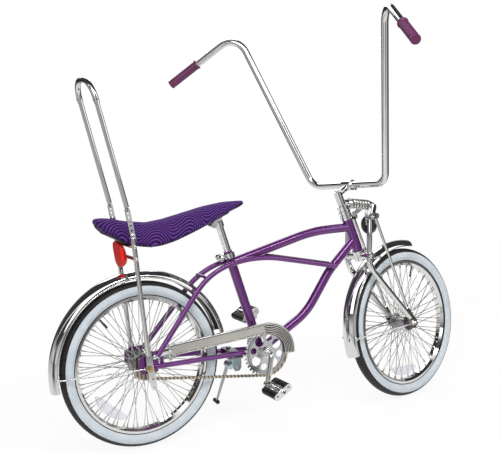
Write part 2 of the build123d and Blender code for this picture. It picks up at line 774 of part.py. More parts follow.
# Chainguard: a pressed plate with a turned-in lip and ribs round the chainring
with BuildPart() as chainguard:
    guard_top = crank_z + guard_outer_radius
    guard_low = crank_z + guard_inner_radius
    with BuildSketch(side_plane(-guard_plane)) as face:
        Polygon((guard_rear_x, guard_rear_bottom), (guard_rear_x, guard_rear_top), (crank_x, guard_top),
                (crank_x, guard_low), align=None)
        Polygon((guard_rear_x, 10.3), (guard_rear_x + 12, 10.3), (guard_rear_x + 12, 30),
                (guard_rear_x, 30), align=None)
        with BuildSketch(mode=Mode.PRIVATE) as sector:
            Rectangle(200, 200, align=(Align.MIN, Align.MIN))
            Rectangle(200, 10, align=(Align.MIN, Align.MAX))
        with Locations((crank_x, crank_z)):
            with BuildSketch(mode=Mode.PRIVATE) as band:
                Circle(guard_outer_radius)
                Circle(guard_inner_radius, mode=Mode.SUBTRACT)
            add(band.sketch & sector.sketch)
    extrude(face.sketch, amount=guard_wall)
    with BuildSketch(side_plane(-guard_plane)) as lip:
        Polygon((guard_rear_x, guard_rear_top - guard_wall), (guard_rear_x, guard_rear_top),
                (crank_x, guard_top), (crank_x, guard_top - guard_wall), align=None)
        with Locations((crank_x, crank_z)):
            with BuildSketch(mode=Mode.PRIVATE) as band:
                Circle(guard_outer_radius)
                Circle(guard_outer_radius - guard_wall, mode=Mode.SUBTRACT)
            add(band.sketch & sector.sketch)
    extrude(lip.sketch, amount=-guard_lip)
    rib_step = (guard_outer_radius - guard_inner_radius) / (guard_rib_count + 1)
    with BuildSketch(side_plane(-guard_plane - guard_wall)) as ribs:
        with Locations((crank_x, crank_z)):
            for rib in range(guard_rib_count):
                middle = guard_inner_radius + (rib + 1) * rib_step
                with BuildSketch(mode=Mode.PRIVATE) as band:
                    Circle(middle + guard_rib_width / 2)
                    Circle(middle - guard_rib_width / 2, mode=Mode.SUBTRACT)
                add(band.sketch & sector.sketch)
    extrude(ribs.sketch, amount=guard_rib_rise)
    crossbar(375, 74, -guard_plane, -seat_tube_radius - seat_gap, 3)

# Springer fork: steerer and crown, legs, rods, yoke and spring
with BuildPart() as fork_crown:
    rod(on_axis(crown_height - 7), on_axis(steerer_top), steerer_radius)
    race_top = head_tube_bottom - cup_height - seat_gap
    rod(on_axis(crown_height - crown_bar_radius), on_axis(race_top), cup_radius - 1.2)
    bar_half = front_dropout_offset - fork_leg_radius - seat_gap
    crown_x = on_axis(crown_height).X - 5
    crossbar(crown_x, crown_height, -bar_half, bar_half, crown_bar_radius)

spring_rear = Vector(spring_rear_x, 0, spring_rear_z)
spring_run = Vector(spring_front_x - spring_rear_x, 0, spring_front_z - spring_rear_z)
with BuildPart() as fork_collar:
    collar_foot = head_tube_top + cup_height + seat_gap
    for rise, thickness, radius in collar_rings:
        rod(on_axis(collar_foot + rise), on_axis(collar_foot + rise + thickness), radius)
    rod(spring_rear - spring_run.normalized() * 36, spring_rear, 11)
    rod(on_axis(340), on_axis(460), steerer_radius + seat_gap / 2, Mode.SUBTRACT)

fork_legs = {}
fork_rods = {}
for side, name in sides:
    y = side * front_dropout_offset
    inner_face = y - dropout_thickness / 2
    with BuildPart() as leg:
        spindle((fork_head_x, y, fork_head_z + 2), (fork_bend_x, y, fork_leg_start_z - 2),
                fork_blade_end_radius, fork_blade_radius)
        tube([(fork_bend_x, y, fork_leg_start_z), (fork_bend_x, y, fork_bend_z), (wheelbase - 15, y, 21)],
             [70], fork_leg_radius)
        crossbar(crown_x, crown_height, side * (front_dropout_offset - fork_leg_radius),
                 side * (front_dropout_offset + fork_leg_radius), fork_boss_radius)
        with BuildSketch(side_plane(side * (front_dropout_offset + fork_leg_radius))) as bolt:
            with Locations((crown_x, crown_height)):
                RegularPolygon(8, 6)
        extrude(bolt.sketch, amount=-side * 5)
        with BuildSketch(side_plane(inner_face)) as plate:
            Polygon((wheelbase - 42, 44), (wheelbase - 20, 56), (wheelbase + 10, 12), (wheelbase - 12, -12),
                    align=None)
            with Locations((wheelbase, 0)):
                Circle(18)
                Circle(axle_radius + seat_gap / 2, mode=Mode.SUBTRACT)
        extrude(plate.sketch, amount=-dropout_thickness)
        crossbar(wheelbase, 0, -90, 90, axle_radius + seat_gap / 2, Mode.SUBTRACT)
        crossbar(wheelbase, 0, side * (front_dropout_offset + dropout_thickness / 2), side * 90, 16,
                 Mode.SUBTRACT)
        crossbar(wheelbase, 0, side * 20, side * (front_dropout_offset - dropout_thickness / 2), 16,
                 Mode.SUBTRACT)
    with BuildPart() as brace:
        rod((fork_rod_head_x, y, fork_rod_head_z), (wheelbase - 27.5, y, 57.5), fork_rod_radius)
    fork_legs[name] = leg
    fork_rods[name] = brace

spring_front = Vector(spring_front_x, 0, spring_front_z)
spring_way = spring_run.normalized()
cheek_x = fork_rod_head_x - 6
with BuildPart() as fork_yoke:
    y = front_dropout_offset
    tube([(cheek_x, -y, fork_rod_head_z - 7), (yoke_front_x, -yoke_front_half, yoke_front_z),
          (yoke_front_x, yoke_front_half, yoke_front_z), (cheek_x, y, fork_rod_head_z - 7)], [14, 14], 8)
    for side, _ in sides:
        with BuildSketch(side_plane(side * y - fork_cheek_half)) as cheek:
            with Locations((cheek_x, fork_head_z + 12)):
                SlotOverall(50, 18)
        extrude(cheek.sketch, amount=-2 * fork_cheek_half)
        rod((fork_rod_head_x, side * y, fork_rod_head_z), (wheelbase - 27.5, side * y, 57.5),
            fork_rod_radius + seat_gap / 2, Mode.SUBTRACT)
    rod(spring_front + spring_way * seat_gap, spring_front + spring_way * 12, spring_radius - 4)
    nut_face = spring_front + spring_way * 19
    with BuildSketch(Plane(origin=nut_face, z_dir=spring_way)) as nut:
        RegularPolygon(11, 6)
    extrude(nut.sketch, amount=8)
    extrude(nut.sketch, amount=-8)
    rod(spring_front, spring_front + spring_way * 41, axle_radius)
    tube([(yoke_front_x, 0, yoke_front_z - 3), (front_reflector_x - 5, 0, 384),
          (front_reflector_x - 5, 0, front_reflector_z)], [8], 4)

with BuildPart() as fork_spring:
    coil_step = (spring_run.length - 6) / spring_coils
    mean_radius = spring_radius - spring_wire_radius
    spring_plane = Plane(origin=(spring_rear_x, 0, spring_rear_z), x_dir=(0, 1, 0),
                         z_dir=spring_run)
    core = mean_radius - 1
    along_spring = Plane(origin=spring_plane.origin, x_dir=spring_plane.z_dir, z_dir=(0, 1, 0))
    with BuildSketch(along_spring) as section:
        with Locations((spring_run.length / 2, core / 2)):
            Rectangle(spring_run.length - 1, core)
        for coil in range(spring_coils):
            with Locations(((coil + 0.5) * coil_step + 3, mean_radius)):
                Circle(spring_wire_radius)
    revolve(section.sketch, axis=Axis(spring_plane.origin, spring_run))

with BuildPart() as front_reflector:
    rod((front_reflector_x, 0, front_reflector_z),
        (front_reflector_x + reflector_depth, 0, front_reflector_z), front_reflector_radius)

# Stem, handlebar and grips
with BuildPart() as stem:
    rod(on_axis(steerer_top + seat_gap), on_axis(464), steerer_radius)
    rod(on_axis(456), (bar_x - 4, 0, bar_z - 4), 10)
    crossbar(bar_x, bar_z, -stem_clamp_half_width, stem_clamp_half_width, stem_clamp_radius)
    crossbar(bar_x, bar_z, -60, 60, bar_radius + seat_gap / 2, Mode.SUBTRACT)

with BuildPart() as handlebar:
    bar_points = [bar_end, bar_elbow, (bar_x, bar_bottom_half_width, bar_z)]
    mirrored = [(x, -y, z) for x, y, z in bar_points]
    tube(mirrored + bar_points[::-1], [bar_top_bend, bar_bottom_bend, bar_bottom_bend, bar_top_bend],
         bar_radius)

grip_run = (Vector(*bar_end) - Vector(*bar_elbow)).normalized()
with BuildPart() as grips:
    for side, _ in sides:
        end = Vector(bar_end[0], side * bar_end[1], bar_end[2])
        run = Vector(grip_run.X, side * grip_run.Y, grip_run.Z)
        rod(end - run * grip_length, end + run * 4, grip_radius)
        rod(end - run * (grip_length + 10), end + run * seat_gap, bar_radius + seat_gap / 2, Mode.SUBTRACT)

# Seat post, pan and cushion
seat_post_axis_top = on_seat_tube(seat_post_top_z)
with BuildPart() as seat_post:
    rod(on_seat_tube(253), seat_post_axis_top, seat_post_radius)

with BuildPart() as seat_cushion:
    rise_share = math.sin(math.radians(seat_underside_angle))
    for x, low, high, half in seat_sections:
        upright = (high - low) / (1 + rise_share)
        with BuildSketch(Plane(origin=(x, 0, high - upright), x_dir=(0, 1, 0), z_dir=(1, 0, 0))):
            with BuildLine():
                outline = EllipticalCenterArc((0, 0), half, upright, start_angle=-seat_underside_angle,
                                              arc_size=180 + 2 * seat_underside_angle)
                Line(outline @ 1, outline @ 0)
            make_face()
    loft(ruled=True)


def pan_height(x):
    """Height of the pan's middle surface under the cushion."""
    for (x0, low0, _, _), (x1, low1, _, _) in zip(seat_sections, seat_sections[1:]):
        if x0 <= x <= x1:
            return low0 + (low1 - low0) * (x - x0) / (x1 - x0) - soft_gap - pan_thickness / 2
    return seat_sections[-1][1]


with BuildPart() as seat_pan:
    pan_line = [(x, low - soft_gap) for x, low, _, half in seat_sections[1:-1]]
    lower_line = [(x, z - pan_thickness) for x, z in pan_line]
    with BuildSketch(side_plane(pan_half_width)) as strip:
        Polygon(*(pan_line + lower_line[::-1]), align=None)
    extrude(strip.sketch, amount=2 * pan_half_width)
    clip_x = on_seat_tube(seat_clip_z).X
    crossbar(clip_x - seat_clip_reach, seat_clip_z, -14, 14, 8.5)
    rod(on_seat_tube(seat_clip_z - 8), on_seat_tube(seat_clip_z + 9), seat_post_radius + 3.5)
    with BuildSketch(side_plane(10)) as block:
        rear = clip_x - seat_clip_reach
        front = seat_post_axis_top.X + 10
        Polygon((rear, seat_clip_z), (front, seat_clip_z), (front, pan_height(front)),
                (rear, pan_height(rear)), align=None)
    extrude(block.sketch, amount=20)
    rod(on_seat_tube(300), seat_post_axis_top + seat_tube_run.normalized() * seat_gap,
        seat_post_radius + seat_gap / 2, Mode.SUBTRACT)
    rail_end = sissy_offset - sissy_radius - seat_gap
    crossbar(-38, pan_height(-38) - 4, -rail_end, rail_end, 4.5)

# Sissy bar, struts and rear reflector
with BuildPart() as sissy_bar:
    tube([(sissy_joint_x, -sissy_offset, sissy_joint_z), (sissy_top_x, -sissy_offset, sissy_top_z),
          (sissy_top_x, sissy_offset, sissy_top_z), (sissy_joint_x, sissy_offset, sissy_joint_z)],
         [sissy_bend, sissy_bend], sissy_radius)

sissy_struts = {}
for side, name in sides:
    y = side * sissy_offset
    strap = Vector(sissy_joint_x - strut_strap_x, 0, sissy_joint_z - strut_strap_top_z)
    with BuildPart() as strut:
        rod((strut_strap_x, y, strut_strap_top_z), (strut_tube_bottom_x, y, strut_tube_bottom_z),
            sissy_radius)
        with BuildSketch(side_plane(y + strut_thickness / 2)) as foot:
            Polygon((strut_tube_bottom_x - 9, strut_tube_bottom_z + 14),
                    (strut_tube_bottom_x + 8, strut_tube_bottom_z + 14),
                    (strut_foot_x + 9, strut_foot_z), (strut_foot_x - 9, strut_foot_z), (-9, 0),
                    align=None)
            with Locations((strut_foot_x, strut_foot_z)):
                Circle(9)
            Circle(axle_radius + seat_gap, mode=Mode.SUBTRACT)
            with Locations((strut_foot_x - 4, -30), (strut_foot_x, strut_foot_z)):
                Circle(strut_hole_radius, mode=Mode.SUBTRACT)
        extrude(foot.sketch, amount=strut_thickness)
        lean_back = Plane(origin=(strut_strap_x, y + strut_thickness / 2, strut_strap_top_z),
                          x_dir=strap, z_dir=(0, -1, 0))
        with BuildSketch(lean_back) as band:
            with Locations((strap.length / 2 - 6, 0)):
                SlotOverall(strap.length + 10, strut_width)
            holes = int(strap.length / strut_hole_pitch) - 1
            for hole in range(holes):
                with Locations(((hole + 1) * strut_hole_pitch, 0)):
                    Circle(strut_hole_radius, mode=Mode.SUBTRACT)
        extrude(band.sketch, amount=strut_thickness)
    sissy_struts[name] = strut

with BuildPart() as rear_reflector:
    facing = Plane(origin=(-58.5, 0, 334.6), x_dir=(0, 1, 0), z_dir=(1, 0, reflector_lean))
    with BuildSketch(facing) as lens:
        RectangleRounded(rear_reflector_width, rear_reflector_height, 24)
    extrude(lens.sketch, amount=8)
    with BuildSketch(facing.offset(8)):
        RectangleRounded(rear_reflector_width - 2, rear_reflector_height - 2, 24)
    with BuildSketch(facing.offset(reflector_dome_depth)):
        with Locations((0, -7)):
            RectangleRounded(rear_reflector_width * 0.6, rear_reflector_height * 0.6, 17)
    loft()

with BuildPart() as reflector_bracket:
    rail_end = sissy_offset - sissy_radius - seat_gap / 2
    crossbar(-30.9, 327, -rail_end, rail_end, 5)

# Side stand
def turned(point):
    """A point of the front end, after steering and before leaning."""
    foot = steering_axis.position
    return foot + (Vector(*point) - foot).rotate(Axis((0, 0, 0), steer_up), steer_angle)


leaned = Location((0, 0, tyre_centre * math.cos(lean) + tyre_section), (-lean_angle, 0, 0))
front_hub_at = (leaned * Location(turned((wheelbase, 0, 0)))).position
front_beside_at = (leaned * Location(turned((wheelbase, 1, 0)))).position
axle_rise = (front_beside_at - front_hub_at).Z
front_tyre_gap = front_hub_at.Z - tyre_centre * math.sqrt(1 - axle_rise**2) - tyre_section

stand_point = Vector(stand_x, stand_y, stand_z)
stand_turn = Vector(*stand_axis_tilt).normalized()
floor_drop = tyre_centre * math.cos(lean) + tyre_section
floor_under_foot = front_tyre_gap * stand_foot_x / wheelbase - floor_drop
foot_height = (floor_under_foot + stand_foot_radius + stand_foot_y * math.sin(lean)) / math.cos(lean)
foot_point = Vector(stand_foot_x, stand_foot_y, foot_height)

with BuildPart() as kickstand_bracket:
    with BuildSketch(side_plane(-11)) as plate:
        Polygon((298, -21), (328, -21), (327, -56), (320, -66), (306, -66), (299, -56), align=None)
        with Locations((313, -56)):
            Circle(3, mode=Mode.SUBTRACT)
    extrude(plate.sketch, amount=3)
    with BuildSketch(side_plane(13)) as web:
        Polygon((300, -21), (326, -21), (325, -48), (302, -50), align=None)
    extrude(web.sketch, amount=24.5)
    with BuildSketch(Plane(origin=(292, 0, 1.4), x_dir=(1, 0, 0), z_dir=(0, 0, 1))) as clamp:
        RectangleRounded(30, 60, 5)
    extrude(clamp.sketch, amount=4)
    with BuildSketch(Plane(origin=(303, 0, -22.4), x_dir=(1, 0, 0), z_dir=(0, 0, 1))) as clamp:
        RectangleRounded(50, 66, 6)
    extrude(clamp.sketch, amount=4)
    rod((290, 0, -20), (290, 0, 10), 5)
    with BuildSketch(Plane(origin=(290, 0, 5.4))) as bolt:
        RegularPolygon(8, 6)
    extrude(bolt.sketch, amount=6)
    rod(stand_point - stand_turn * 20, stand_point + stand_turn * (stand_eye_half_width + 4),
        stand_pin_radius)
    rod(stand_point - stand_turn * (stand_eye_half_width + 0.5), stand_point - stand_turn * 20,
        stand_eye_radius)

leg_run = (foot_point - stand_point).normalized()
with BuildPart() as kickstand:
    rod(stand_point - stand_turn * stand_eye_half_width, stand_point + stand_turn * stand_eye_half_width,
        stand_eye_radius)
    rod(stand_point + leg_run * 9, foot_point - leg_run * 2, stand_leg_radius)
    rod(stand_point - stand_turn * 30, stand_point + stand_turn * 30,
        stand_pin_radius + running_clearance, Mode.SUBTRACT)

with BuildPart() as kickstand_foot:
    floor_up = Vector(0, -math.sin(lean), math.cos(lean))
    foot_side = Vector(0, math.cos(lean), math.sin(lean))
    rod(foot_point - foot_side * stand_foot_length * 0.35, foot_point + foot_side * stand_foot_length * 0.65,
        stand_foot_radius)
    rod(stand_point + leg_run * 9, foot_point - leg_run * 2 + leg_run * seat_gap,
        stand_leg_radius + seat_gap / 2, Mode.SUBTRACT)

# Stand the bicycle on its wheels and its side stand
front_centre = Vector(wheelbase, 0, 0)
fixed_pieces = {
    "head_tube": head_tube, "headset_cups": headset_cups, "top_tube": top_tube, "down_tube": down_tube,
    "seat_tube": seat_tube, "bottom_bracket": bottom_bracket, "bottom_bracket_cups": bottom_bracket_cups,
    "cantilever_tube_right": cantilever_tubes["right"], "cantilever_tube_left": cantilever_tubes["left"],
    "chainstay_right": chainstays["right"], "chainstay_left": chainstays["left"],
    "stay_bridges": stay_bridges, "brake_arm": brake_arm, "seat_clamp": seat_clamp, "seat_post": seat_post,
    "seat_pan": seat_pan, "seat_cushion": seat_cushion, "sissy_bar": sissy_bar,
    "sissy_strut_right": sissy_struts["right"], "sissy_strut_left": sissy_struts["left"],
    "rear_reflector": rear_reflector, "reflector_bracket": reflector_bracket, "rear_fender": rear_fender,
    "rear_fender_stays": rear_fender_stays, "chainguard": chainguard, "chain": chain, "rear_axle": rear_axle,
    "kickstand_bracket": kickstand_bracket, "kickstand": kickstand, "kickstand_foot": kickstand_foot,
    "rear_tyre": rear_tyre, "rear_rim": rear_rim, "rear_spokes": rear_spokes, "rear_hub": rear_hub,
    "rear_sprocket": rear_sprocket, "crank": crank, "chainring": chainring,
    "pedal_cage_right": pedal_cages["right"], "pedal_blocks_right": pedal_blocks["right"],
    "pedal_cage_left": pedal_cages["left"], "pedal_blocks_left": pedal_blocks["left"],
}
steered_pieces = {
    "fork_crown": fork_crown, "fork_collar": fork_collar, "fork_leg_right": fork_legs["right"],
    "fork_leg_left": fork_legs["left"],
    "fork_rod_right": fork_rods["right"], "fork_rod_left": fork_rods["left"],
    "fork_yoke": fork_yoke, "fork_spring": fork_spring, "front_reflector": front_reflector, "stem": stem,
    "handlebar": handlebar, "grips": grips, "front_fender": front_fender,
    "front_fender_stays": front_fender_stays, "front_axle": front_axle, "front_tyre": front_tyre,
    "front_rim": front_rim, "front_spokes": front_spokes, "front_hub": front_hub,
}
nose_up = math.degrees(math.asin(-front_tyre_gap / wheelbase))
leaned = Location((0, 0, 0), (0, -nose_up, 0)) * leaned
for name, piece in steered_pieces.items():
    piece.part = piece.part.rotate(steering_axis, steer_angle).moved(leaned)
for name, piece in fixed_pieces.items():
    piece.part = piece.part.moved(leaned)

every = {**fixed_pieces, **steered_pieces}
boxes = [piece.part.bounding_box() for piece in every.values()]
middle_x = (min(b.min.X for b in boxes) + max(b.max.X for b in boxes)) / 2
middle_y = (min(b.min.Y for b in boxes) + max(b.max.Y for b in boxes)) / 2
lowest = min(b.min.Z for b in boxes)
settled = Location((-middle_x, -middle_y, -lowest))
for name, piece in every.items():
    piece.part = piece.part.moved(settled)
    piece.part.label = name
    export_step(piece.part, f"parts/{name}.step")


def placed(point, steered):
    """A point of the upright bicycle, as it stands parked."""
    mark = turned(point) if steered else Vector(*point)
    return (settled * leaned * Location(mark)).position


axes = {
    "steering": (on_axis(320), steer_up, False),
    "front_wheel": (front_centre, Vector(0, 1, 0), True),
    "rear_wheel": (Vector(0, 0, 0), Vector(0, 1, 0), False),
    "rear_sprocket": (Vector(0, -chain_line, 0), Vector(0, 1, 0), False),
    "crank": (Vector(crank_x, 0, crank_z), Vector(0, 1, 0), False),
    "pedal_right": (Vector(eye_x, -pedal_inner_face, eye_z), Vector(0, 1, 0), False),
    "pedal_left": (Vector(far_eye_x, pedal_inner_face, far_eye_z), Vector(0, 1, 0), False),
    "kickstand": (stand_point, stand_turn, False),
}
for name, (point, direction, steered) in axes.items():
    start = placed(point, steered)
    end = placed(point + direction, steered)
    print("joint", name, [round(v, 4) for v in start], [round(v, 6) for v in end - start])
print("box", round(middle_x, 3), round(middle_y, 3), round(floor_drop, 3))
print("stance", round(lowest, 4), round(nose_up, 5))
for name in ("front_tyre", "rear_tyre", "kickstand_foot"):
    print("low", name, round(every[name].part.bounding_box().min.Z, 4))

stub = 2.0
rear_stub_y = rear_nut + nut_width + stub
front_stub_y = front_nut + nut_width + stub
pins = {
    "rear_axle_right_end": ((0, -rear_stub_y, 0), -1, False),
    "rear_axle_left_end": ((0, rear_stub_y, 0), 1, False),
    "front_axle_right_end": ((wheelbase, -front_stub_y, 0), -1, True),
    "front_axle_left_end": ((wheelbase, front_stub_y, 0), 1, True),
}
for name, (point, side, steered) in pins.items():
    start = placed(point, steered)
    end = placed(Vector(*point) + Vector(0, side, 0), steered)
    print("pin", name, [round(v, 4) for v in start], [round(v, 6) for v in end - start])
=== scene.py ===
"""Looks of the chopper bicycle: chrome, metallic paint, velour seat, whitewall tyres and laced wheels."""
import math
import bmesh
import bpy
from mathutils import Matrix, Vector


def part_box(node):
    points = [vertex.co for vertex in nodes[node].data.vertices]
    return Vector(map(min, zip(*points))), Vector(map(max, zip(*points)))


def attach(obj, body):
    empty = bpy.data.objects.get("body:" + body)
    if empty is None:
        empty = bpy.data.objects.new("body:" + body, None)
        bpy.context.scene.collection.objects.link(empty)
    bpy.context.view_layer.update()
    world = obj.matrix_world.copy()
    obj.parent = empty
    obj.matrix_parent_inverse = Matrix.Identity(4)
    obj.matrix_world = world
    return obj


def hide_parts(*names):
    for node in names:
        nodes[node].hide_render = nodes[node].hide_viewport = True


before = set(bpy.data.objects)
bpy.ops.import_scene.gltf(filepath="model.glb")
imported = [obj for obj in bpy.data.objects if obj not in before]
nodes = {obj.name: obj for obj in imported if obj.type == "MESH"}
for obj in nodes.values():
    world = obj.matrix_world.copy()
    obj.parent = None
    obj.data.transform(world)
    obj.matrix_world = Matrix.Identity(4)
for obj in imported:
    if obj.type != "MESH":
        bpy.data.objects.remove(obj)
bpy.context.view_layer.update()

# Sizes of the upright bicycle, in millimetres, with the rear axle at zero
wheelbase = 966.0
lean_angle = 5.0
nose_up = 0.01363
steer_angle = 14.8
head_angle = 69.0
axis_foot = 874.95
settled = (-462.337, -64.114, 0.0)
floor_drop = 249.132
tyre_radius = 250.0
tyre_section = 22.0
tyre_centre = tyre_radius - tyre_section
rim_outer = 208.0
rim_inner = 194.0
whitewall_inner = 211.0
whitewall_outer = 237.6
black_rib_rise = 0.7
front_flange = 27.0
rear_flange = 33.0
flange_offset = 28.0
spokes_per_side = 36
rear_fender_radius = 282.0
front_fender_radius = 279.0
fender_hem_drop = 21.0
fender_half_width = 26.0
fender_depth = 15.0
fender_wall = 1.5
hem_bead = 1.7
sissy_offset = 70.0
strap_face = 72.5
strut_face = 77.0
crank_x = 402.0
crank_z = -14.0
chain_line = 40.0
chain_pitch = 12.7
guard_outer_radius = 95.0
guard_inner_radius = 62.0
guard_face = -50.0
guard_rib_rise = 1.0
fork_half_width = 48.0
sleeve_radius = 8.3

# Where the camera stood
camera_place = (-1.5706, -2.8437, 1.3051)
camera_turn = (77.935, -0.788, -27.677)
camera_lens = 75.89

steer_up = Vector((-math.cos(math.radians(head_angle)), 0, math.sin(math.radians(head_angle))))
bike = (Matrix.Scale(0.001, 4)
        @ Matrix.Translation(settled)
        @ Matrix.Rotation(math.radians(-nose_up), 4, "Y")
        @ Matrix.Translation((0, 0, floor_drop))
        @ Matrix.Rotation(math.radians(-lean_angle), 4, "X"))
front = (bike
         @ Matrix.Translation((axis_foot, 0, 0))
         @ Matrix.Rotation(math.radians(steer_angle), 4, steer_up)
         @ Matrix.Translation((-axis_foot, 0, 0)))
rear_wheel = bike
front_wheel = front @ Matrix.Translation((wheelbase, 0, 0))


# Materials
class Tree:
    """A node tree of a material or the world, with short ways to add its nodes."""

    def __init__(self, tree):
        self.tree = tree

    def node(self, kind, **values):
        """A new node, with values for its sockets or its settings of the same names."""
        made = self.tree.nodes.new(kind)
        for key, value in values.items():
            if key in made.inputs:
                made.inputs[key].default_value = value
            else:
                setattr(made, key, value)
        return made

    def link(self, source, target):
        self.tree.links.new(source, target)

    def noise(self, place, scale, detail=3.0):
        texture = self.node("ShaderNodeTexNoise", Scale=scale, Detail=detail, Roughness=0.55)
        self.link(place, texture.inputs["Vector"])
        return texture.outputs["Fac"]

    def ramp(self, value, stops):
        """Colour over a value, through (position, colour) stops."""
        ramp = self.node("ShaderNodeValToRGB")
        elements = ramp.color_ramp.elements
        for element, (position, colour) in zip(list(elements), (stops[0], stops[-1])):
            element.position = position
            element.color = (*colour, 1.0)
        for position, colour in stops[1:-1]:
            element = elements.new(position)
            element.color = (*colour, 1.0)
        self.link(value, ramp.inputs["Fac"])
        return ramp.outputs["Color"]

    def range(self, value, low, high, from_low=0.0, from_high=1.0):
        """A value that runs from low to high where the given one runs from from_low to from_high."""
        made = self.node("ShaderNodeMapRange")
        made.inputs["From Min"].default_value = from_low
        made.inputs["From Max"].default_value = from_high
        made.inputs["To Min"].default_value = low
        made.inputs["To Max"].default_value = high
        self.link(value, made.inputs["Value"])
        return made.outputs["Result"]

    def maths(self, operation, first, second=None):
        made = self.node("ShaderNodeMath", operation=operation)
        for socket, value in zip(made.inputs, (first, second)):
            if value is None:
                continue
            if isinstance(value, (int, float)):
                socket.default_value = value
            else:
                self.link(value, socket)
        return made.outputs["Value"]

    def add(self, first, second):
        return self.maths("ADD", first, second)

    def times(self, first, second):
        return self.maths("MULTIPLY", first, second)

    def lerp(self, share, first, second):
        """first where share is 0 and second where it is 1."""
        kept = self.times(self.maths("SUBTRACT", 1.0, share), first)
        return self.add(kept, self.times(share, second))

    def split(self, vector):
        """The three parts of a vector."""
        parts = self.node("ShaderNodeSeparateXYZ")
        self.link(vector, parts.inputs["Vector"])
        return parts.outputs["X"], parts.outputs["Y"], parts.outputs["Z"]

    def waves(self, value, pitch):
        """Even waves from -1 to 1, one for each pitch of a value."""
        return self.maths("SINE", self.times(value, 2 * math.pi / pitch))


class Surface(Tree):
    """A material's node tree, with its shader at hand."""

    def __init__(self, name):
        self.material = bpy.data.materials.new(name)
        self.material.use_nodes = True
        super().__init__(self.material.node_tree)
        self.shader = self.tree.nodes["Principled BSDF"]

    def set(self, **values):
        for key, value in values.items():
            self.shader.inputs[key.replace("_", " ")].default_value = value

    def place(self, matrix=None):
        """Object coordinates, turned into the frame of a matrix when one is given."""
        coordinates = self.node("ShaderNodeTexCoord").outputs["Object"]
        if matrix is None:
            return coordinates
        move, turn, scale = matrix.inverted().decompose()
        mapping = self.node("ShaderNodeMapping", Location=move, Rotation=turn.to_euler("XYZ"), Scale=scale)
        self.link(coordinates, mapping.inputs["Vector"])
        return mapping.outputs["Vector"]

    def tint(self, value, stops):
        """Colours the surface along a value."""
        self.link(self.ramp(value, stops), self.shader.inputs["Base Color"])

    def roughen(self, value, low, high):
        """Sets the roughness between two numbers along a value."""
        self.link(self.range(value, low, high), self.shader.inputs["Roughness"])

    def bump(self, height, strength, distance):
        made = self.node("ShaderNodeBump", Strength=strength, Distance=distance)
        self.link(height, made.inputs["Height"])
        self.link(made.outputs["Normal"], self.shader.inputs["Normal"])


def shaded(colour, share):
    """A colour with each channel multiplied."""
    return tuple(channel * share for channel in colour)


def metal(name, colour, rough, grain=1.0):
    """Bare or plated metal with faint handling marks."""
    surface = Surface(name)
    surface.set(Metallic=1.0)
    place = surface.place()
    cloud = surface.noise(place, 18.0)
    fine = surface.noise(place, 420.0, detail=2.0)
    surface.tint(cloud, [(0.35, shaded(colour, 0.93)), (0.65, colour)])
    marks = surface.add(surface.times(cloud, 0.6), surface.times(fine, 0.4))
    surface.roughen(marks, rough * 0.6, rough * 1.6)
    surface.bump(fine, 0.02 * grain, 0.0004)
    return surface.material


def link_steel(name, matrix, dark, light, rough=0.34):
    """Chain steel that is darker at every pin than on the plates between."""
    surface = Surface(name)
    surface.set(Metallic=0.9)
    place = surface.place(matrix)
    along, _, _ = surface.split(place)
    links = surface.waves(along, chain_pitch)
    oil = surface.noise(place, 0.12)
    mixed = surface.add(surface.range(links, 0.0, 0.75, -1.0, 1.0), surface.times(oil, 0.25))
    surface.tint(mixed, [(0.15, dark), (0.8, light)])
    surface.roughen(oil, rough * 0.7, rough * 1.4)
    surface.bump(surface.noise(place, 0.6), 0.2, 0.0004)
    return surface.material


def frame_paint():
    """Metallic purple with a fine flake under a clear coat."""
    surface = Surface("metallic_purple_paint")
    surface.set(Metallic=0.55, Coat_Weight=1.0, Coat_Roughness=0.03, IOR=1.5)
    place = surface.place()
    flake = surface.node("ShaderNodeTexVoronoi", Scale=2600.0)
    surface.link(place, flake.inputs["Vector"])
    cloud = surface.noise(place, 6.0)
    surface.tint(flake.outputs["Color"], [(0.15, (0.088, 0.008, 0.124)), (0.85, (0.165, 0.022, 0.218))])
    surface.roughen(cloud, 0.27, 0.36)
    surface.bump(surface.noise(place, 900.0, detail=1.0), 0.03, 0.0003)
    return surface.material


def rubber(name, colour, rough=0.62):
    """Plain dark rubber with a fine grain."""
    surface = Surface(name)
    surface.set(Specular_IOR_Level=0.4)
    place = surface.place()
    cloud = surface.noise(place, 30.0)
    paler = tuple(channel * 1.7 + 0.004 for channel in colour)
    surface.tint(cloud, [(0.3, colour), (0.75, paler)])
    surface.roughen(cloud, rough * 0.85, rough * 1.15)
    surface.bump(surface.noise(place, 700.0), 0.25, 0.0006)
    return surface.material


def tread_rubber(name, wheel):
    """Black rubber with a herringbone tread that follows the wheel round."""
    surface = Surface(name)
    surface.set(Specular_IOR_Level=0.35)
    place = surface.place(wheel)
    across, sideways, upward = surface.split(place)
    turn = surface.maths("ARCTAN2", upward, across)
    slant = surface.times(surface.maths("ABSOLUTE", sideways), 0.35)
    blocks = surface.maths("SINE", surface.add(surface.times(turn, 150.0), slant))
    grooves = surface.maths("SINE", surface.times(sideways, 0.9))
    cloud = surface.noise(place, 0.03)
    surface.tint(cloud, [(0.3, (0.012, 0.012, 0.013)), (0.75, (0.026, 0.025, 0.026))])
    surface.roughen(cloud, 0.5, 0.68)
    surface.bump(surface.maths("MAXIMUM", blocks, grooves), 0.7, 0.0009)
    return surface.material


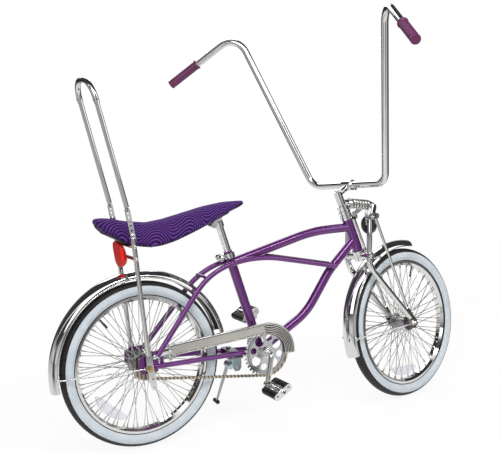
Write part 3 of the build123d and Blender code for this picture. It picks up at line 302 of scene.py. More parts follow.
def wall_rubber(name, wheel):
    """White sidewall rubber with fine moulded rings round the wheel and a faint grey film."""
    surface = Surface(name)
    surface.set(Specular_IOR_Level=0.35)
    place = surface.place(wheel)
    across, _, upward = surface.split(place)
    squares = surface.add(surface.maths("POWER", across, 2.0), surface.maths("POWER", upward, 2.0))
    rings = surface.waves(surface.maths("SQRT", squares), 3.2)
    film = surface.noise(place, 0.02)
    surface.tint(film, [(0.3, (0.47, 0.52, 0.56)), (0.7, (0.56, 0.61, 0.65))])
    surface.roughen(film, 0.42, 0.6)
    surface.bump(rings, 0.25, 0.0004)
    return surface.material


# The velour's waves, in millimetres, and its colours from the valleys to the ridges: the pressed pattern,
# with painted shade in the valleys and painted sheen on the ridges
wave_length = 112.0
wave_height = 19.0
swell_height = 30.0
line_pitch = 11.0
velour_shade_and_sheen = [
    # position, colour
    (0.0, (0.016, 0.003, 0.046)),
    (0.55, (0.030, 0.006, 0.080)),
    (0.80, (0.090, 0.027, 0.200)),
    (1.0, (0.160, 0.062, 0.320)),
]


def velour(matrix):
    """Crushed velour with embossed waves running along the seat."""
    surface = Surface("purple_velour")
    surface.set(Roughness=0.85, Sheen_Weight=0.16, Sheen_Roughness=0.35, Sheen_Tint=(0.60, 0.30, 0.90, 1.0),
                Specular_IOR_Level=0.2)
    place = surface.place(matrix)
    along, sideways, upward = surface.split(place)
    drift = surface.noise(place, 0.0065, detail=1.0)
    shifted = surface.add(surface.times(along, 2 * math.pi / wave_length), surface.times(drift, 4.0))
    wave = surface.times(surface.maths("SINE", shifted), wave_height)
    rising = surface.times(along, 0.12)
    stack = surface.add(surface.times(surface.maths("ABSOLUTE", sideways), -0.55), upward)
    swell = surface.times(surface.noise(place, 0.011, detail=0.0), swell_height)
    level = surface.add(surface.add(stack, rising), surface.add(wave, swell))
    line = surface.waves(level, line_pitch)
    nap = surface.noise(place, 0.9, detail=4.0)
    soft = surface.add(line, surface.times(surface.maths("SUBTRACT", nap, 0.5), 0.9))
    # The lines' colours follow the pressed waves: painted shade in the valleys and painted sheen on the
    # ridges
    surface.tint(surface.range(soft, 0.0, 1.0, -1.2, 1.2), velour_shade_and_sheen)
    surface.bump(surface.add(surface.times(line, 0.6), surface.times(nap, 0.5)), 0.6, 0.0014)
    return surface.material


def gloss_plastic(name, colour, rough, coat=0.4):
    """Moulded plastic or vinyl with a thin clear coat."""
    surface = Surface(name)
    surface.set(Coat_Weight=coat, Coat_Roughness=0.12)
    place = surface.place()
    cloud = surface.noise(place, 60.0)
    surface.tint(cloud, [(0.35, shaded(colour, 0.8)), (0.7, colour)])
    surface.roughen(cloud, rough * 0.8, rough * 1.3)
    surface.bump(surface.noise(place, 500.0), 0.04, 0.0004)
    return surface.material


def prism_plastic(name, colour, alpha):
    """Clear reflector plastic with its small prisms."""
    surface = Surface(name)
    surface.set(Coat_Weight=0.5, Coat_Roughness=0.04, Roughness=0.25, Specular_IOR_Level=0.3, Alpha=alpha)
    cells = surface.node("ShaderNodeTexVoronoi", Scale=330.0)
    surface.link(surface.place(), cells.inputs["Vector"])
    surface.tint(cells.outputs["Distance"], [(0.1, colour), (0.6, shaded(colour, 0.8))])
    surface.bump(cells.outputs["Distance"], 0.18, 0.0005)
    return surface.material


def ribbed_plastic(name, colour, matrix, pitch=6.5):
    """Reflector plastic with upright ribs, each darker in its trough in painted shade."""
    surface = Surface(name)
    surface.set(Coat_Weight=0.5, Coat_Roughness=0.05, Roughness=0.28, Specular_IOR_Level=0.3)
    _, sideways, _ = surface.split(surface.place(matrix))
    rib = surface.waves(sideways, pitch)
    # Painted shade: the colour falls to half in the trough between ribs
    surface.tint(surface.range(rib, 0.0, 1.0, -1.0, 1.0), [(0.1, shaded(colour, 0.5)), (0.7, colour)])
    surface.bump(rib, 0.5, 0.0008)
    return surface.material


chrome = metal("polished_chrome", (0.78, 0.78, 0.77), 0.055)
soft_chrome = metal("brushed_chrome", (0.72, 0.70, 0.645), 0.17, 3.0)
# Paler copy of the chainguard's metal for its ribs and rolled edges: painted highlight
rib_highlight_steel = metal("guard_ribs", (0.88, 0.86, 0.81), 0.30, 3.0)
spoke_steel = metal("spoke_steel", (0.60, 0.59, 0.57), 0.22, 2.0)
chain_steel = link_steel("chain_steel", bike, (0.20, 0.155, 0.11), (0.60, 0.53, 0.44))
ring_steel = metal("chainring_plate", (0.64, 0.64, 0.66), 0.16, 2.0)
hub_steel = metal("hub_plate", (0.34, 0.34, 0.37), 0.26, 2.0)
# Dark brownish metal for the fork's flat ends round the axle
dark_axle_plate = metal("dark_axle_plate", (0.24, 0.205, 0.18), 0.30, 3.0)
zinc = metal("zinc_plate", (0.48, 0.60, 0.64), 0.30, 3.0)
brass = metal("brass_plate", (0.70, 0.52, 0.24), 0.25, 2.0)
dark_steel = metal("dark_steel", (0.10, 0.10, 0.105), 0.35, 3.0)
paint = frame_paint()
black_rubber = rubber("black_rubber", (0.012, 0.012, 0.012))
pedal_rubber = rubber("pedal_rubber", (0.010, 0.0075, 0.006), 0.30)
magenta = gloss_plastic("grip_plastic", (0.125, 0.016, 0.086), 0.42, 0.08)
# Near-black rubber that stands in for the shade in grooves and creases: painted shade
painted_groove_shade = rubber("groove_shadow", (0.007, 0.004, 0.003), 0.8)
black_plastic = gloss_plastic("black_plastic", (0.015, 0.015, 0.016), 0.25)
piping_vinyl = gloss_plastic("seat_piping_vinyl", (0.020, 0.008, 0.040), 0.4)
red_prisms = ribbed_plastic("red_reflector", (0.86, 0.010, 0.005), bike)
clear_prisms = prism_plastic("clear_reflector", (0.80, 0.80, 0.88), 0.42)
seat_velour = velour(bike)


# Pieces
def add_piece(bm, name, materials, body, place=None, stands_for=(), crease=34.0, recalculate=True):
    """Puts a bmesh in the scene as a piece of a body, with smooth faces and sharp creases."""
    if place is not None:
        bm.transform(place)
    if recalculate:
        bmesh.ops.recalc_face_normals(bm, faces=bm.faces)
    limit = math.radians(crease)
    for face in bm.faces:
        face.smooth = True
    for edge in bm.edges:
        edge.smooth = edge.calc_face_angle(math.pi) < limit
    mesh = bpy.data.meshes.new(name)
    bm.to_mesh(mesh)
    bm.free()
    piece = bpy.data.objects.new(name, mesh)
    bpy.context.scene.collection.objects.link(piece)
    for material in materials:
        mesh.materials.append(material)
    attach(piece, body)
    if stands_for:
        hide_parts(*stands_for)


def from_node(node):
    """A bmesh copy of a CAD node with its loose triangles joined."""
    bm = bmesh.new()
    bm.from_mesh(nodes[node].data)
    bmesh.ops.remove_doubles(bm, verts=bm.verts, dist=0.00001)
    return bm


def dress_node(bm, name, materials, body, node):
    """Puts a changed copy of a CAD node in its place. Its faces point the right way already."""
    add_piece(bm, name, materials, body, stands_for=(node,), recalculate=False)


def turned_to(direction, axis="Z", up="Y"):
    """Matrix that turns an axis to a direction."""
    return Vector(direction).to_track_quat(axis, up).to_matrix().to_4x4()


def spin_ring(bm, outline, steps, angle=360.0, start=0.0, closed=True):
    """Spins (radius, sideways) corners about the Y axis."""
    verts = [bm.verts.new((radius, y, 0)) for radius, y in outline]
    pairs = list(zip(verts, verts[1:]))
    if closed:
        pairs.append((verts[-1], verts[0]))
    edges = [bm.edges.new(pair) for pair in pairs]
    bmesh.ops.rotate(bm, verts=verts, cent=(0, 0, 0), matrix=Matrix.Rotation(math.radians(-start), 3, "Y"))
    bmesh.ops.spin(bm, geom=verts + edges, cent=(0, 0, 0), axis=(0, -1, 0), angle=math.radians(angle),
                   steps=steps, use_merge=angle >= 360.0, use_duplicate=False)


def rod(bm, start, end, radius, sides, end_radius=None):
    """Round bar between two points."""
    start = Vector(start)
    end = Vector(end)
    run = end - start
    place = Matrix.Translation((start + end) / 2) @ turned_to(run)
    bmesh.ops.create_cone(bm, cap_ends=True, segments=sides, radius1=radius, radius2=end_radius or radius,
                          depth=run.length, matrix=place)


def bolt(bm, centre, direction, radius, height, sides=6):
    """Hexagon or round head that stands out from a face, with a chamfered rim."""
    place = Matrix.Translation(centre) @ turned_to(direction) @ Matrix.Translation((0, 0, height / 2))
    made = bmesh.ops.create_cone(bm, cap_ends=True, segments=sides, radius1=radius, radius2=radius,
                                 depth=height, matrix=place)
    top = place @ Vector((0, 0, height / 2))
    way = Vector(direction).normalized()
    raised = [vert for vert in made["verts"] if abs((vert.co - top).dot(way)) < 0.01 * height]
    rim = [edge for edge in bm.edges if edge.verts[0] in raised and edge.verts[1] in raised]
    bmesh.ops.bevel(bm, geom=rim, offset=radius * 0.16, segments=2, profile=0.5, affect="EDGES",
                    material=-1)


def washer(bm, centre, direction, radius, thickness=1.2):
    """Flat round plate under a head."""
    bolt(bm, centre, direction, radius, thickness, 28)


def dome(bm, centre, direction, radius, height):
    """Round head like a rivet's, half sunk in its face."""
    squash = Matrix.Diagonal((radius, radius, height, 1.0))
    bmesh.ops.create_uvsphere(bm, u_segments=16, v_segments=10, radius=1.0,
                              matrix=Matrix.Translation(centre) @ turned_to(direction) @ squash)


def bent_tube(bm, points, radius, resolution, closed=False):
    """Round tube along a smooth line through points."""
    line = bpy.data.curves.new("line", "CURVE")
    line.dimensions = "3D"
    line.bevel_depth = radius
    line.bevel_resolution = resolution
    line.resolution_u = 6
    line.use_fill_caps = not closed
    spline = line.splines.new("BEZIER")
    spline.bezier_points.add(len(points) - 1)
    for knot, point in zip(spline.bezier_points, points):
        knot.co = point
        knot.handle_left_type = "AUTO"
        knot.handle_right_type = "AUTO"
    spline.use_cyclic_u = closed
    holder = bpy.data.objects.new("line", line)
    mesh = bpy.data.meshes.new_from_object(holder)
    bm.from_mesh(mesh)
    bpy.data.objects.remove(holder)
    bpy.data.curves.remove(line)
    bpy.data.meshes.remove(mesh)


def arc_strip(outline, from_angle, to_angle, steps):
    """A bar of a closed (radius, sideways) section along an arc about the Y axis, with closed ends."""
    bm = bmesh.new()
    spin_ring(bm, outline, steps, to_angle - from_angle, from_angle)
    open_edges = [edge for edge in bm.edges if edge.is_boundary]
    bmesh.ops.holes_fill(bm, edges=open_edges, sides=0)
    return bm


def join(bm, other):
    """Moves the faces of one bmesh into another."""
    scratch = bpy.data.meshes.new("scratch")
    other.to_mesh(scratch)
    other.free()
    bm.from_mesh(scratch)
    bpy.data.meshes.remove(scratch)


def pull(bm, grown, run):
    """Moves the new corners of an extrusion along a run."""
    moved = [part for part in grown["geom"] if isinstance(part, bmesh.types.BMVert)]
    bmesh.ops.translate(bm, verts=moved, vec=run)


def round_section(radius, middle_radius, middle_y, corners=8):
    """Corners of a small circle at a distance from the Y axis."""
    turns = [2 * math.pi * corner / corners for corner in range(corners)]
    return [(middle_radius + radius * math.cos(turn), middle_y + radius * math.sin(turn)) for turn in turns]


# Nodes whose shape stays: a joined copy with smooth faces takes the finish
finishes = {
    "frame": {
        "head_tube": paint, "top_tube": paint, "down_tube": paint, "seat_tube": paint,
        "bottom_bracket": paint, "cantilever_tube_right": paint, "cantilever_tube_left": paint,
        "chainstay_right": paint, "chainstay_left": paint, "stay_bridges": paint,
        "headset_cups": chrome, "bottom_bracket_cups": chrome, "seat_post": chrome, "sissy_bar": chrome,
        "sissy_strut_right": chrome, "sissy_strut_left": chrome, "reflector_bracket": hub_steel,
        "rear_fender_stays": chrome, "chainguard": soft_chrome, "chain": chain_steel, "rear_axle": brass,
        "rear_reflector": red_prisms, "seat_clamp": chrome, "brake_arm": zinc,
    },
    "fork": {
        "fork_crown": chrome, "fork_collar": chrome, "fork_rod_right": chrome, "fork_rod_left": chrome,
        "fork_yoke": chrome, "stem": chrome, "handlebar": chrome, "front_fender_stays": chrome,
        "front_axle": chrome, "front_reflector": black_plastic,
    },
    "front_wheel": {"front_rim": chrome, "front_hub": hub_steel},
    "rear_wheel": {"rear_rim": chrome, "rear_hub": hub_steel},
    "sprocket": {"rear_sprocket": chain_steel},
    "crank": {"crank": chrome, "chainring": ring_steel},
    "pedal_right": {"pedal_cage_right": chrome},
    "pedal_left": {"pedal_cage_left": chrome},
}
for body, dressed in finishes.items():
    for node, material in dressed.items():
        dress_node(from_node(node), node + "_finished", [material], body, node)

# Fork legs, with the flat ends at the axle in darker plate
dropout_reach = 52.0
dropout_half_thickness = 2.8
back = front_wheel.inverted()
for side, name in ((-1, "fork_leg_right"), (1, "fork_leg_left")):
    bm = from_node(name)
    for face in bm.faces:
        place = back @ face.calc_center_median()
        near = math.hypot(place.x, place.z) < dropout_reach
        if near and abs(place.y - side * fork_half_width) < dropout_half_thickness:
            face.material_index = 1
    dress_node(bm, name + "_finished", [chrome, dark_axle_plate], "fork", name)

# Seat pan, with its clip and rail in chrome
pan_clip_x = (238.0, 300.0)
pan_rail_x = (-46.0, -30.0)
pan_thickness = 3.4
seat_rows = [
    # along x, underside z, half width of the flat underside
    (-98.0, 400.0, 32.5),
    (-35.0, 367.0, 39.6),
    (35.0, 353.0, 41.0),
    (90.0, 359.0, 41.0),
    (150.0, 378.0, 39.6),
    (216.0, 402.0, 35.4),
    (291.0, 433.0, 26.9),
    (350.0, 452.6, 10.4),
]


def hangs_below(x, z):
    """Whether a place on the seat pan is well below the cushion's underside."""
    for (x0, z0, _), (x1, z1, _) in zip(seat_rows, seat_rows[1:]):
        if x0 <= x <= x1:
            return z < z0 + (z1 - z0) * (x - x0) / (x1 - x0) - pan_thickness
    return True


back = bike.inverted()
bm = from_node("seat_pan")
for face in bm.faces:
    place = back @ face.calc_center_median()
    on_clip = pan_clip_x[0] < place.x < pan_clip_x[1]
    on_rail = pan_rail_x[0] < place.x < pan_rail_x[1]
    if (on_clip or on_rail) and hangs_below(place.x, place.z):
        face.material_index = 1
dress_node(bm, "seat_pan_finished", [dark_steel, chrome], "frame", "seat_pan")

# Side stand: a pale plate below dull clamp plates, a slim leg on its eye and a rubber foot
clamp_floor = -22.9
bm = from_node("kickstand_bracket")
for face in bm.faces:
    if (back @ face.calc_center_median()).z > clamp_floor:
        face.material_index = 1
dress_node(bm, "kickstand_bracket_finished", [zinc, hub_steel], "frame", "kickstand_bracket")
stand_point = Vector((300.0, 27.0, -50.0))
eye_reach = 0.018
leg_share = 0.58
foot_share = 0.76
foot_low, foot_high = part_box("kickstand_foot")
foot_place = (Vector(foot_low) + Vector(foot_high)) / 2
leg_start = bike @ stand_point
leg_way = (foot_place - leg_start).normalized()
bm = from_node("kickstand")
for vert in bm.verts:
    run = vert.co - leg_start
    along = run.dot(leg_way)
    if along > eye_reach:
        vert.co = leg_start + leg_way * along + (run - leg_way * along) * leg_share
dress_node(bm, "kickstand_leg", [hub_steel], "side_stand", "kickstand")
ground_point = Vector((foot_place.x, foot_place.y, 0.0))
bm = from_node("kickstand_foot")
for vert in bm.verts:
    vert.co = ground_point + (vert.co - ground_point) * foot_share
dress_node(bm, "kickstand_shoe", [black_rubber], "side_stand", "kickstand_foot")

# Tyres with their white walls
tyre_degrees = [*range(0, 59, 6), 59, 60, 61.5, 63, 64, *range(68, 129, 6)]
black_rib = (59.5, 63.5)
least_wall_y = 10.0


def tyre_outline():
    """Section of the tyre from bead to bead as (radius, sideways), with a rib at the white wall's edge."""
    half = []
    for degree in tyre_degrees:
        rise = black_rib_rise if black_rib[0] < degree < black_rib[1] else 0.0
        turn = math.radians(degree)
        half.append((tyre_centre + (tyre_section + rise) * math.cos(turn),
                     (tyre_section + rise) * math.sin(turn)))
    half += [(whitewall_inner, 15.5), (rim_outer + 1.2, 14.4), (rim_outer - 2.8, 12.9)]
    mirrored = [(radius, -sideways) for radius, sideways in half[1:]]
    return mirrored[::-1] + half


for name, body, place in (("rear", "rear_wheel", rear_wheel), ("front", "front_wheel", front_wheel)):
    bm = bmesh.new()
    spin_ring(bm, tyre_outline(), 180)
    for face in bm.faces:
        middle = face.calc_center_median()
        radius = math.hypot(middle.x, middle.z)
        if whitewall_inner < radius < whitewall_outer and abs(middle.y) > least_wall_y:
            face.material_index = 1
    tread = tread_rubber(name + "_tread_rubber", place)
    wall = wall_rubber(name + "_wall_rubber", place)
    add_piece(bm, name + "_whitewall_tyre", [tread, wall], body, place, (name + "_tyre",), 60.0)

# Laced spokes with their nipples and heads
spoke_radius = 1.05
spoke_slant = 30.0
spoke_rim_y = 5.0
flange_face = 1.6
head_height = 1.8
head_radius = 1.9
nipple_length = 13.0
nipple_radius = 1.6
nipple_end_radius = 2.2


def lace(flange):
    """Spokes of one wheel, which start at a radius on the hub and cross on each side."""
    bm = bmesh.new()
    step = 360.0 / spokes_per_side
    for side in (-1, 1):
        phase = 0.0 if side < 0 else step / 2
        for spoke in range(spokes_per_side):
            out = 1 if spoke % 2 else -1
            at_hub = math.radians(phase + spoke * step)
            at_rim = math.radians(phase + spoke * step + out * spoke_slant)
            face_y = side * (flange_offset + out * flange_face)
            start = Vector((flange * math.cos(at_hub), face_y, flange * math.sin(at_hub)))
            end = Vector((rim_inner * math.cos(at_rim), side * spoke_rim_y, rim_inner * math.sin(at_rim)))
            rod(bm, start, end, spoke_radius, 6)
            nipple = end + (start - end).normalized() * nipple_length
            rod(bm, nipple, end, nipple_radius, 6, nipple_end_radius)
            head = start + Vector((0, side * out * head_height, 0))
            rod(bm, start - Vector((0, side * 0.5, 0)), head, head_radius, 6)
    return bm


for name, body, place, flange in (("rear", "rear_wheel", rear_wheel, rear_flange - 3.5),
                                  ("front", "front_wheel", front_wheel, front_flange - 3.0)):
    add_piece(lace(flange), name + "_laced_spokes", [spoke_steel], body, place, (name + "_spokes",), 50.0)

# Valves and the clear reflectors between the spokes
valve_foot = 176.0
valve_tip = 160.0
reflector_section = [
    # outwards from the middle radius, sideways
    (-15, -4), (-12, -6), (12, -6), (15, -4), (15, 4), (12, 6), (-12, 6), (-15, 4),
]
reflector_pinch = 0.72
wheel_trim = [
    # name, body, frame, valve angle, reflector from, reflector to, reflector radius
    ("rear", "rear_wheel", rear_wheel, 129.5, -151.0, -109.0, 163.0),
    ("front", "front_wheel", front_wheel, 69.0, -114.0, -74.0, 166.0),
]
for name, body, place, valve_angle, from_angle, to_angle, radius in wheel_trim:
    turn = math.radians(valve_angle)
    outward = Vector((math.cos(turn), 0, math.sin(turn)))
    bm = bmesh.new()
    rod(bm, outward * (rim_inner + 1), outward * valve_foot, 4.2, 14, 3.4)
    rod(bm, outward * valve_foot, outward * valve_tip, 4.0, 14)
    bolt(bm, outward * (valve_tip + 3), -outward, 3.6, 5, 12)
    add_piece(bm, name + "_valve", [black_rubber], body, place)
    section = [(radius + rise, sideways) for rise, sideways in reflector_section]
    bm = arc_strip(section, from_angle, to_angle, 24)
    middle = math.radians((from_angle + to_angle) / 2)
    half_turn = math.radians((to_angle - from_angle) / 2)
    for vert in bm.verts:
        length = math.hypot(vert.co.x, vert.co.z)
        share = (math.atan2(vert.co.z, vert.co.x) - middle) / half_turn
        pinch = 1.0 - reflector_pinch * abs(share) ** 3
        wanted = radius + (length - radius) * pinch
        vert.co.x *= wanted / length
        vert.co.z *= wanted / length
    add_piece(bm, name + "_spoke_reflector", [clear_prisms], body, place)

# Grips with ribs and a flanged end
bar_elbow = Vector((611.0, 331.0, 1017.0))
bar_end = Vector((481.0, 541.5, 870.0))
grip_length = 115.0
grip_margin = 6.0
grip_ribs = 20
grip_core = 14.0
grip_rib_radius = 14.9
outline = [(11.2, 0.0), (16.5, 0.0), (17.0, 1.5), (16.5, 3.0)]
for rib in range(grip_ribs):
    along = grip_margin + rib * (grip_length - 2 * grip_margin) / grip_ribs
    outline += [(grip_core, along), (grip_rib_radius, along + 1.2), (grip_rib_radius, along + 3.2),
                (grip_core, along + 4.4)]
outline += [(14.2, grip_length - 3.0), (15.4, grip_length), (grip_core, grip_length + 3.4),
            (0.0, grip_length + 4.0)]
bm = bmesh.new()
for side in (-1, 1):
    outer = Vector((bar_end.x, side * bar_end.y, bar_end.z))
    inner = Vector((bar_elbow.x, side * bar_elbow.y, bar_elbow.z))
    run = (outer - inner).normalized()
    grip = bmesh.new()
    spin_ring(grip, outline, 28, closed=False)
    bmesh.ops.remove_doubles(grip, verts=grip.verts, dist=0.01)
    grip.transform(Matrix.Translation(outer - run * grip_length) @ turned_to(run, "Y", "Z"))
    join(bm, grip)
add_piece(bm, "ribbed_grips", [magenta], "fork", front, ("grips",), 40.0)

# Coil spring of the fork, on its inner rod and between two end plates
spring_rear = Vector((746.0, 0.0, 423.0))
spring_front = Vector((831.0, 0.0, 411.0))
coils = 6
steps_per_coil = 24
wire = 3.6
mean_radius = 13.9
inner_rod_radius = 5.0
plate_radius = 17.0
length = (spring_front - spring_rear).length
bm = bmesh.new()
wire_place = Matrix.Translation((mean_radius, wire + 0.5, 0))
bmesh.ops.create_circle(bm, segments=10, radius=wire, matrix=wire_place)
turns = steps_per_coil * coils
advance = (length - 2 * wire - 1.0) / turns
bmesh.ops.spin(bm, geom=list(bm.verts) + list(bm.edges), cent=(0, 0, 0), axis=(0, 1, 0),
               dvec=(0, advance, 0), angle=2 * math.pi * coils, steps=turns, use_merge=False,
               use_duplicate=False)
bmesh.ops.holes_fill(bm, edges=[edge for edge in bm.edges if edge.is_boundary], sides=0)
rod(bm, (0, 0, 0), (0, length, 0), inner_rod_radius, 16)
rod(bm, (0, 0.2, 0), (0, 2.6, 0), plate_radius, 28)
rod(bm, (0, length - 2.6, 0), (0, length - 0.2, 0), plate_radius, 28)
spring_place = front @ Matrix.Translation(spring_rear) @ turned_to(spring_front - spring_rear, "Y", "Z")
add_piece(bm, "fork_coil_spring", [chrome], "fork", spring_place, ("fork_spring",), 50.0)

# Pedal blocks with cut ridges, in place of the plain ones, and their bolts
pedal_length = 86.0
pedal_inner_face = 96.0
pedal_tilt = 33.0
plate_width = 2.5
block_gap = 0.2
block_centre = 22.0
block_half_width = 10.5
block_half_height = 10.5
block_corners = 36
block_squareness = 3.4
block_groove = 0.76
crank_length = 92.0
crank_rest_angle = -103.0


def block_section():
    """Corners of one block's rounded section, with a groove at every third corner."""
    corners = []
    for step in range(block_corners):
        turn = 2 * math.pi * step / block_corners
        across = math.cos(turn)
        height = math.sin(turn)
        reach = (abs(across) ** block_squareness + abs(height) ** block_squareness) ** (-1 / block_squareness)
        if step % 3 == 1:
            reach *= block_groove
        corners.append((block_half_width * reach * across, block_half_height * reach * height))
    return corners


rest = math.radians(crank_rest_angle)
eye = Vector((crank_x + crank_length * math.cos(rest), 0, crank_z + crank_length * math.sin(rest)))
far_eye = Vector((2 * crank_x - eye.x, 0, 2 * crank_z - eye.z))
for side, name, centre in ((-1, "right", eye), (1, "left", far_eye)):
    body = "pedal_" + name
    place = bike @ Matrix.Translation(centre) @ Matrix.Rotation(math.radians(-pedal_tilt), 4, "Y")
    out_way = (0, side, 0)
    in_way = (0, -side, 0)
    inner = side * pedal_inner_face
    outer = side * (pedal_inner_face + pedal_length)
    start = side * (pedal_inner_face + plate_width + block_gap)
    reach = pedal_length - 2 * (plate_width + block_gap)
    bm = bmesh.new()
    for half in (-1, 1):
        verts = [bm.verts.new((half * (block_centre + across), start, height))
                 for across, height in block_section()]
        face = bm.faces.new(verts)
        pull(bm, bmesh.ops.extrude_face_region(bm, geom=[face]), (0, side * reach, 0))
        bmesh.ops.triangulate(bm, faces=[part for part in bm.faces if len(part.verts) > 4])
    add_piece(bm, "pedal_ridged_blocks_" + name, [pedal_rubber], body, place, ("pedal_blocks_" + name,), 30.0)
    bm = bmesh.new()
    for half in (-1, 1):
        bolt(bm, (half * block_centre, outer, 0), out_way, 4.6, 3.6)
        bolt(bm, (half * block_centre, inner, 0), in_way, 4.6, 1.6)
        for height in (-5.0, 5.0):
            rod(bm, (half * 10.6, start, height), (half * 10.6, outer, height), 1.6, 10)
    dome(bm, (0, outer, 0), out_way, 8.5, 5.0)
    add_piece(bm, "pedal_bolts_" + name, [chrome], body, place)
    bm = bmesh.new()
    bolt(bm, (0, outer + side * 2.5, 0), out_way, 4.2, 3.4)
    add_piece(bm, "pedal_cap_bolt_" + name, [dark_steel], body, place)

# Lock nuts of the crank, and two near-black rings of painted shade in the grooves round the chainring's face
crank_place = bike @ Matrix.Translation((crank_x, 0, crank_z))
right_way = (0, -1, 0)
left_way = (0, 1, 0)
bm = bmesh.new()
bolt(bm, (crank_x, -47.0, crank_z), right_way, 14.5, 6.0)
bolt(bm, (crank_x, 42.5, crank_z), left_way, 14.5, 5.0)
dome(bm, (crank_x, -85.0, crank_z), right_way, 6.0, 3.0)
add_piece(bm, "crank_lock_nuts", [chrome], "crank", bike)
ring_face = -chain_line - 1.2
groove_half_width = 0.9
bm = bmesh.new()
for radius in (59.2, 65.2):
    inner = radius - groove_half_width
    outer = radius + groove_half_width
    spin_ring(bm, [(inner, ring_face + 0.3), (outer, ring_face + 0.3), (outer, ring_face - 0.15),
                   (inner, ring_face - 0.15)], 96)
add_piece(bm, "chainring_groove_shade", [painted_groove_shade], "crank", crank_place)

# Chainguard round the crank: rolled edges and ribs, in a paler metal for a painted highlight, and near-black
# strips of painted shade in the grooves between them
guard_ribs = 5
rib_step = (guard_outer_radius - guard_inner_radius) / (guard_ribs + 1)
rib_radius = 1.3
rib_start = -5.5
rib_end = 97.0
edge_end = 90.0
outer_edge = guard_outer_radius - 1.0
inner_edge = guard_inner_radius + 0.8
outer_edge_y = guard_face - 0.6
inner_edge_y = guard_face - 0.5
groove_gap = 1.1
groove_root = guard_face + 0.2
groove_top = guard_face - 1.75
bm = arc_strip(round_section(1.9, outer_edge, outer_edge_y, 10), rib_start, edge_end, 60)
for rib in range(guard_ribs):
    middle = guard_inner_radius + (rib + 1) * rib_step
    section = round_section(rib_radius, middle, guard_face - guard_rib_rise)
    join(bm, arc_strip(section, rib_start, rib_end, 64))
join(bm, arc_strip(round_section(rib_radius, inner_edge, inner_edge_y), rib_start, edge_end, 60))
add_piece(bm, "chainguard_ribs", [rib_highlight_steel], "frame", crank_place, crease=60.0)
# Near-black strips between the ribs: painted shade
bm = bmesh.new()
for rib in range(guard_ribs + 1):
    inner = guard_inner_radius + rib * rib_step + groove_gap
    outer = guard_inner_radius + (rib + 1) * rib_step - groove_gap
    section = [(inner, groove_root), (outer, groove_root), (outer, groove_top), (inner, groove_top)]
    join(bm, arc_strip(section, rib_start + 1.0, rib_end - 1.0, 64))
add_piece(bm, "chainguard_groove_shade", [painted_groove_shade], "frame", crank_place)

# Chainguard along its straight arm: edges, and thin near-black rods of painted shade in the creases beside
# them
arm_edge_y = guard_face - 0.4
arm_rear_x = 70.0
arm_top = 56.0
arm_bottom = 22.0
crease_rear_x = 74.0
crease_front_x = crank_x - 12.0
bm = bmesh.new()
rod(bm, (arm_rear_x, outer_edge_y, arm_top), (crank_x, outer_edge_y, crank_z + outer_edge), 2.1, 12)
rod(bm, (arm_rear_x, arm_edge_y, arm_bottom), (crank_x, arm_edge_y, crank_z + inner_edge), 1.3, 10)
rod(bm, (arm_rear_x + 0.6, arm_edge_y, arm_bottom), (arm_rear_x + 0.6, outer_edge_y, arm_top), 1.2, 10)
add_piece(bm, "chainguard_edges", [chrome], "frame", bike)
bm = bmesh.new()
rod(bm, (crease_rear_x, guard_face, arm_top - 4.0),
    (crease_front_x, guard_face, crank_z + guard_outer_radius - 4.8), 0.8, 8)
rod(bm, (crease_rear_x, guard_face, arm_bottom + 3.0),
    (crease_front_x, guard_face, crank_z + guard_inner_radius + 3.6), 0.6, 8)
add_piece(bm, "chainguard_crease_shade", [painted_groove_shade], "frame", bike)

# Bracket and tab that hold the chainguard's rear end
bracket_width = 10.0
bracket_thickness = 1.6
bracket_line = [
    # along x, sideways, height
    (14.0, -61.6, 30.0),
    (34.0, -61.6, 32.0),
    (50.0, -52.0, 34.0),
    (84.0, -52.0, 37.0),
]
tab_y = -49.0
tab_thickness = 2.6
tab_corners = [(40.0, 3.0), (54.0, 3.0), (51.0, 30.0), (43.0, 30.0)]
bm = bmesh.new()
verts = [bm.verts.new((x, y, z - bracket_width / 2)) for x, y, z in bracket_line]
edges = [bm.edges.new(pair) for pair in zip(verts, verts[1:])]
pull(bm, bmesh.ops.extrude_edge_only(bm, edges=edges), (0, 0, bracket_width))
bmesh.ops.recalc_face_normals(bm, faces=bm.faces)
bmesh.ops.solidify(bm, geom=bm.faces[:], thickness=bracket_thickness)
bolt(bm, (20.0, -62.4, 31.0), right_way, 5.6, 4.0)
washer(bm, (20.0, -61.8, 31.0), right_way, 7.2)
dome(bm, (76.0, -52.8, 36.5), right_way, 4.6, 2.8)
add_piece(bm, "chainguard_bracket", [chrome], "frame", bike)
bm = bmesh.new()
face = bm.faces.new([bm.verts.new((x, tab_y, z)) for x, z in tab_corners])
pull(bm, bmesh.ops.extrude_face_region(bm, geom=[face]), (0, -tab_thickness, 0))
rim = [edge for edge in bm.edges if abs(edge.verts[0].co.y - edge.verts[1].co.y) < 0.01]
bmesh.ops.bevel(bm, geom=rim, offset=0.7, segments=2, profile=0.5, affect="EDGES", material=-1)
add_piece(bm, "chainguard_tab", [paint], "frame", bike)

# Mudguards: a thin arched shell, with rolled hems and the heads of its stays' rivets
fender_trim = [
    # name, body, frame, crest radius, first angle, last angle, stay end x, stay end z
    ("rear", "frame", rear_wheel, rear_fender_radius, 14.0, 190.0, -264.0, -6.0),
    ("front", "fork", front_wheel, front_fender_radius, 79.5, 196.0, -260.0, -14.0),
]


def arch(edge, crest, half_width, steps=16):
    """Points of the circle arc from one edge over the crest to the other edge."""
    rise = crest - edge
    circle = (half_width ** 2 + rise ** 2) / (2 * rise)
    reach = math.asin(half_width / circle)
    points = []
    for step in range(steps + 1):
        turn = reach * (2 * step / steps - 1)
        points.append((crest - circle + circle * math.cos(turn), circle * math.sin(turn)))
    return points


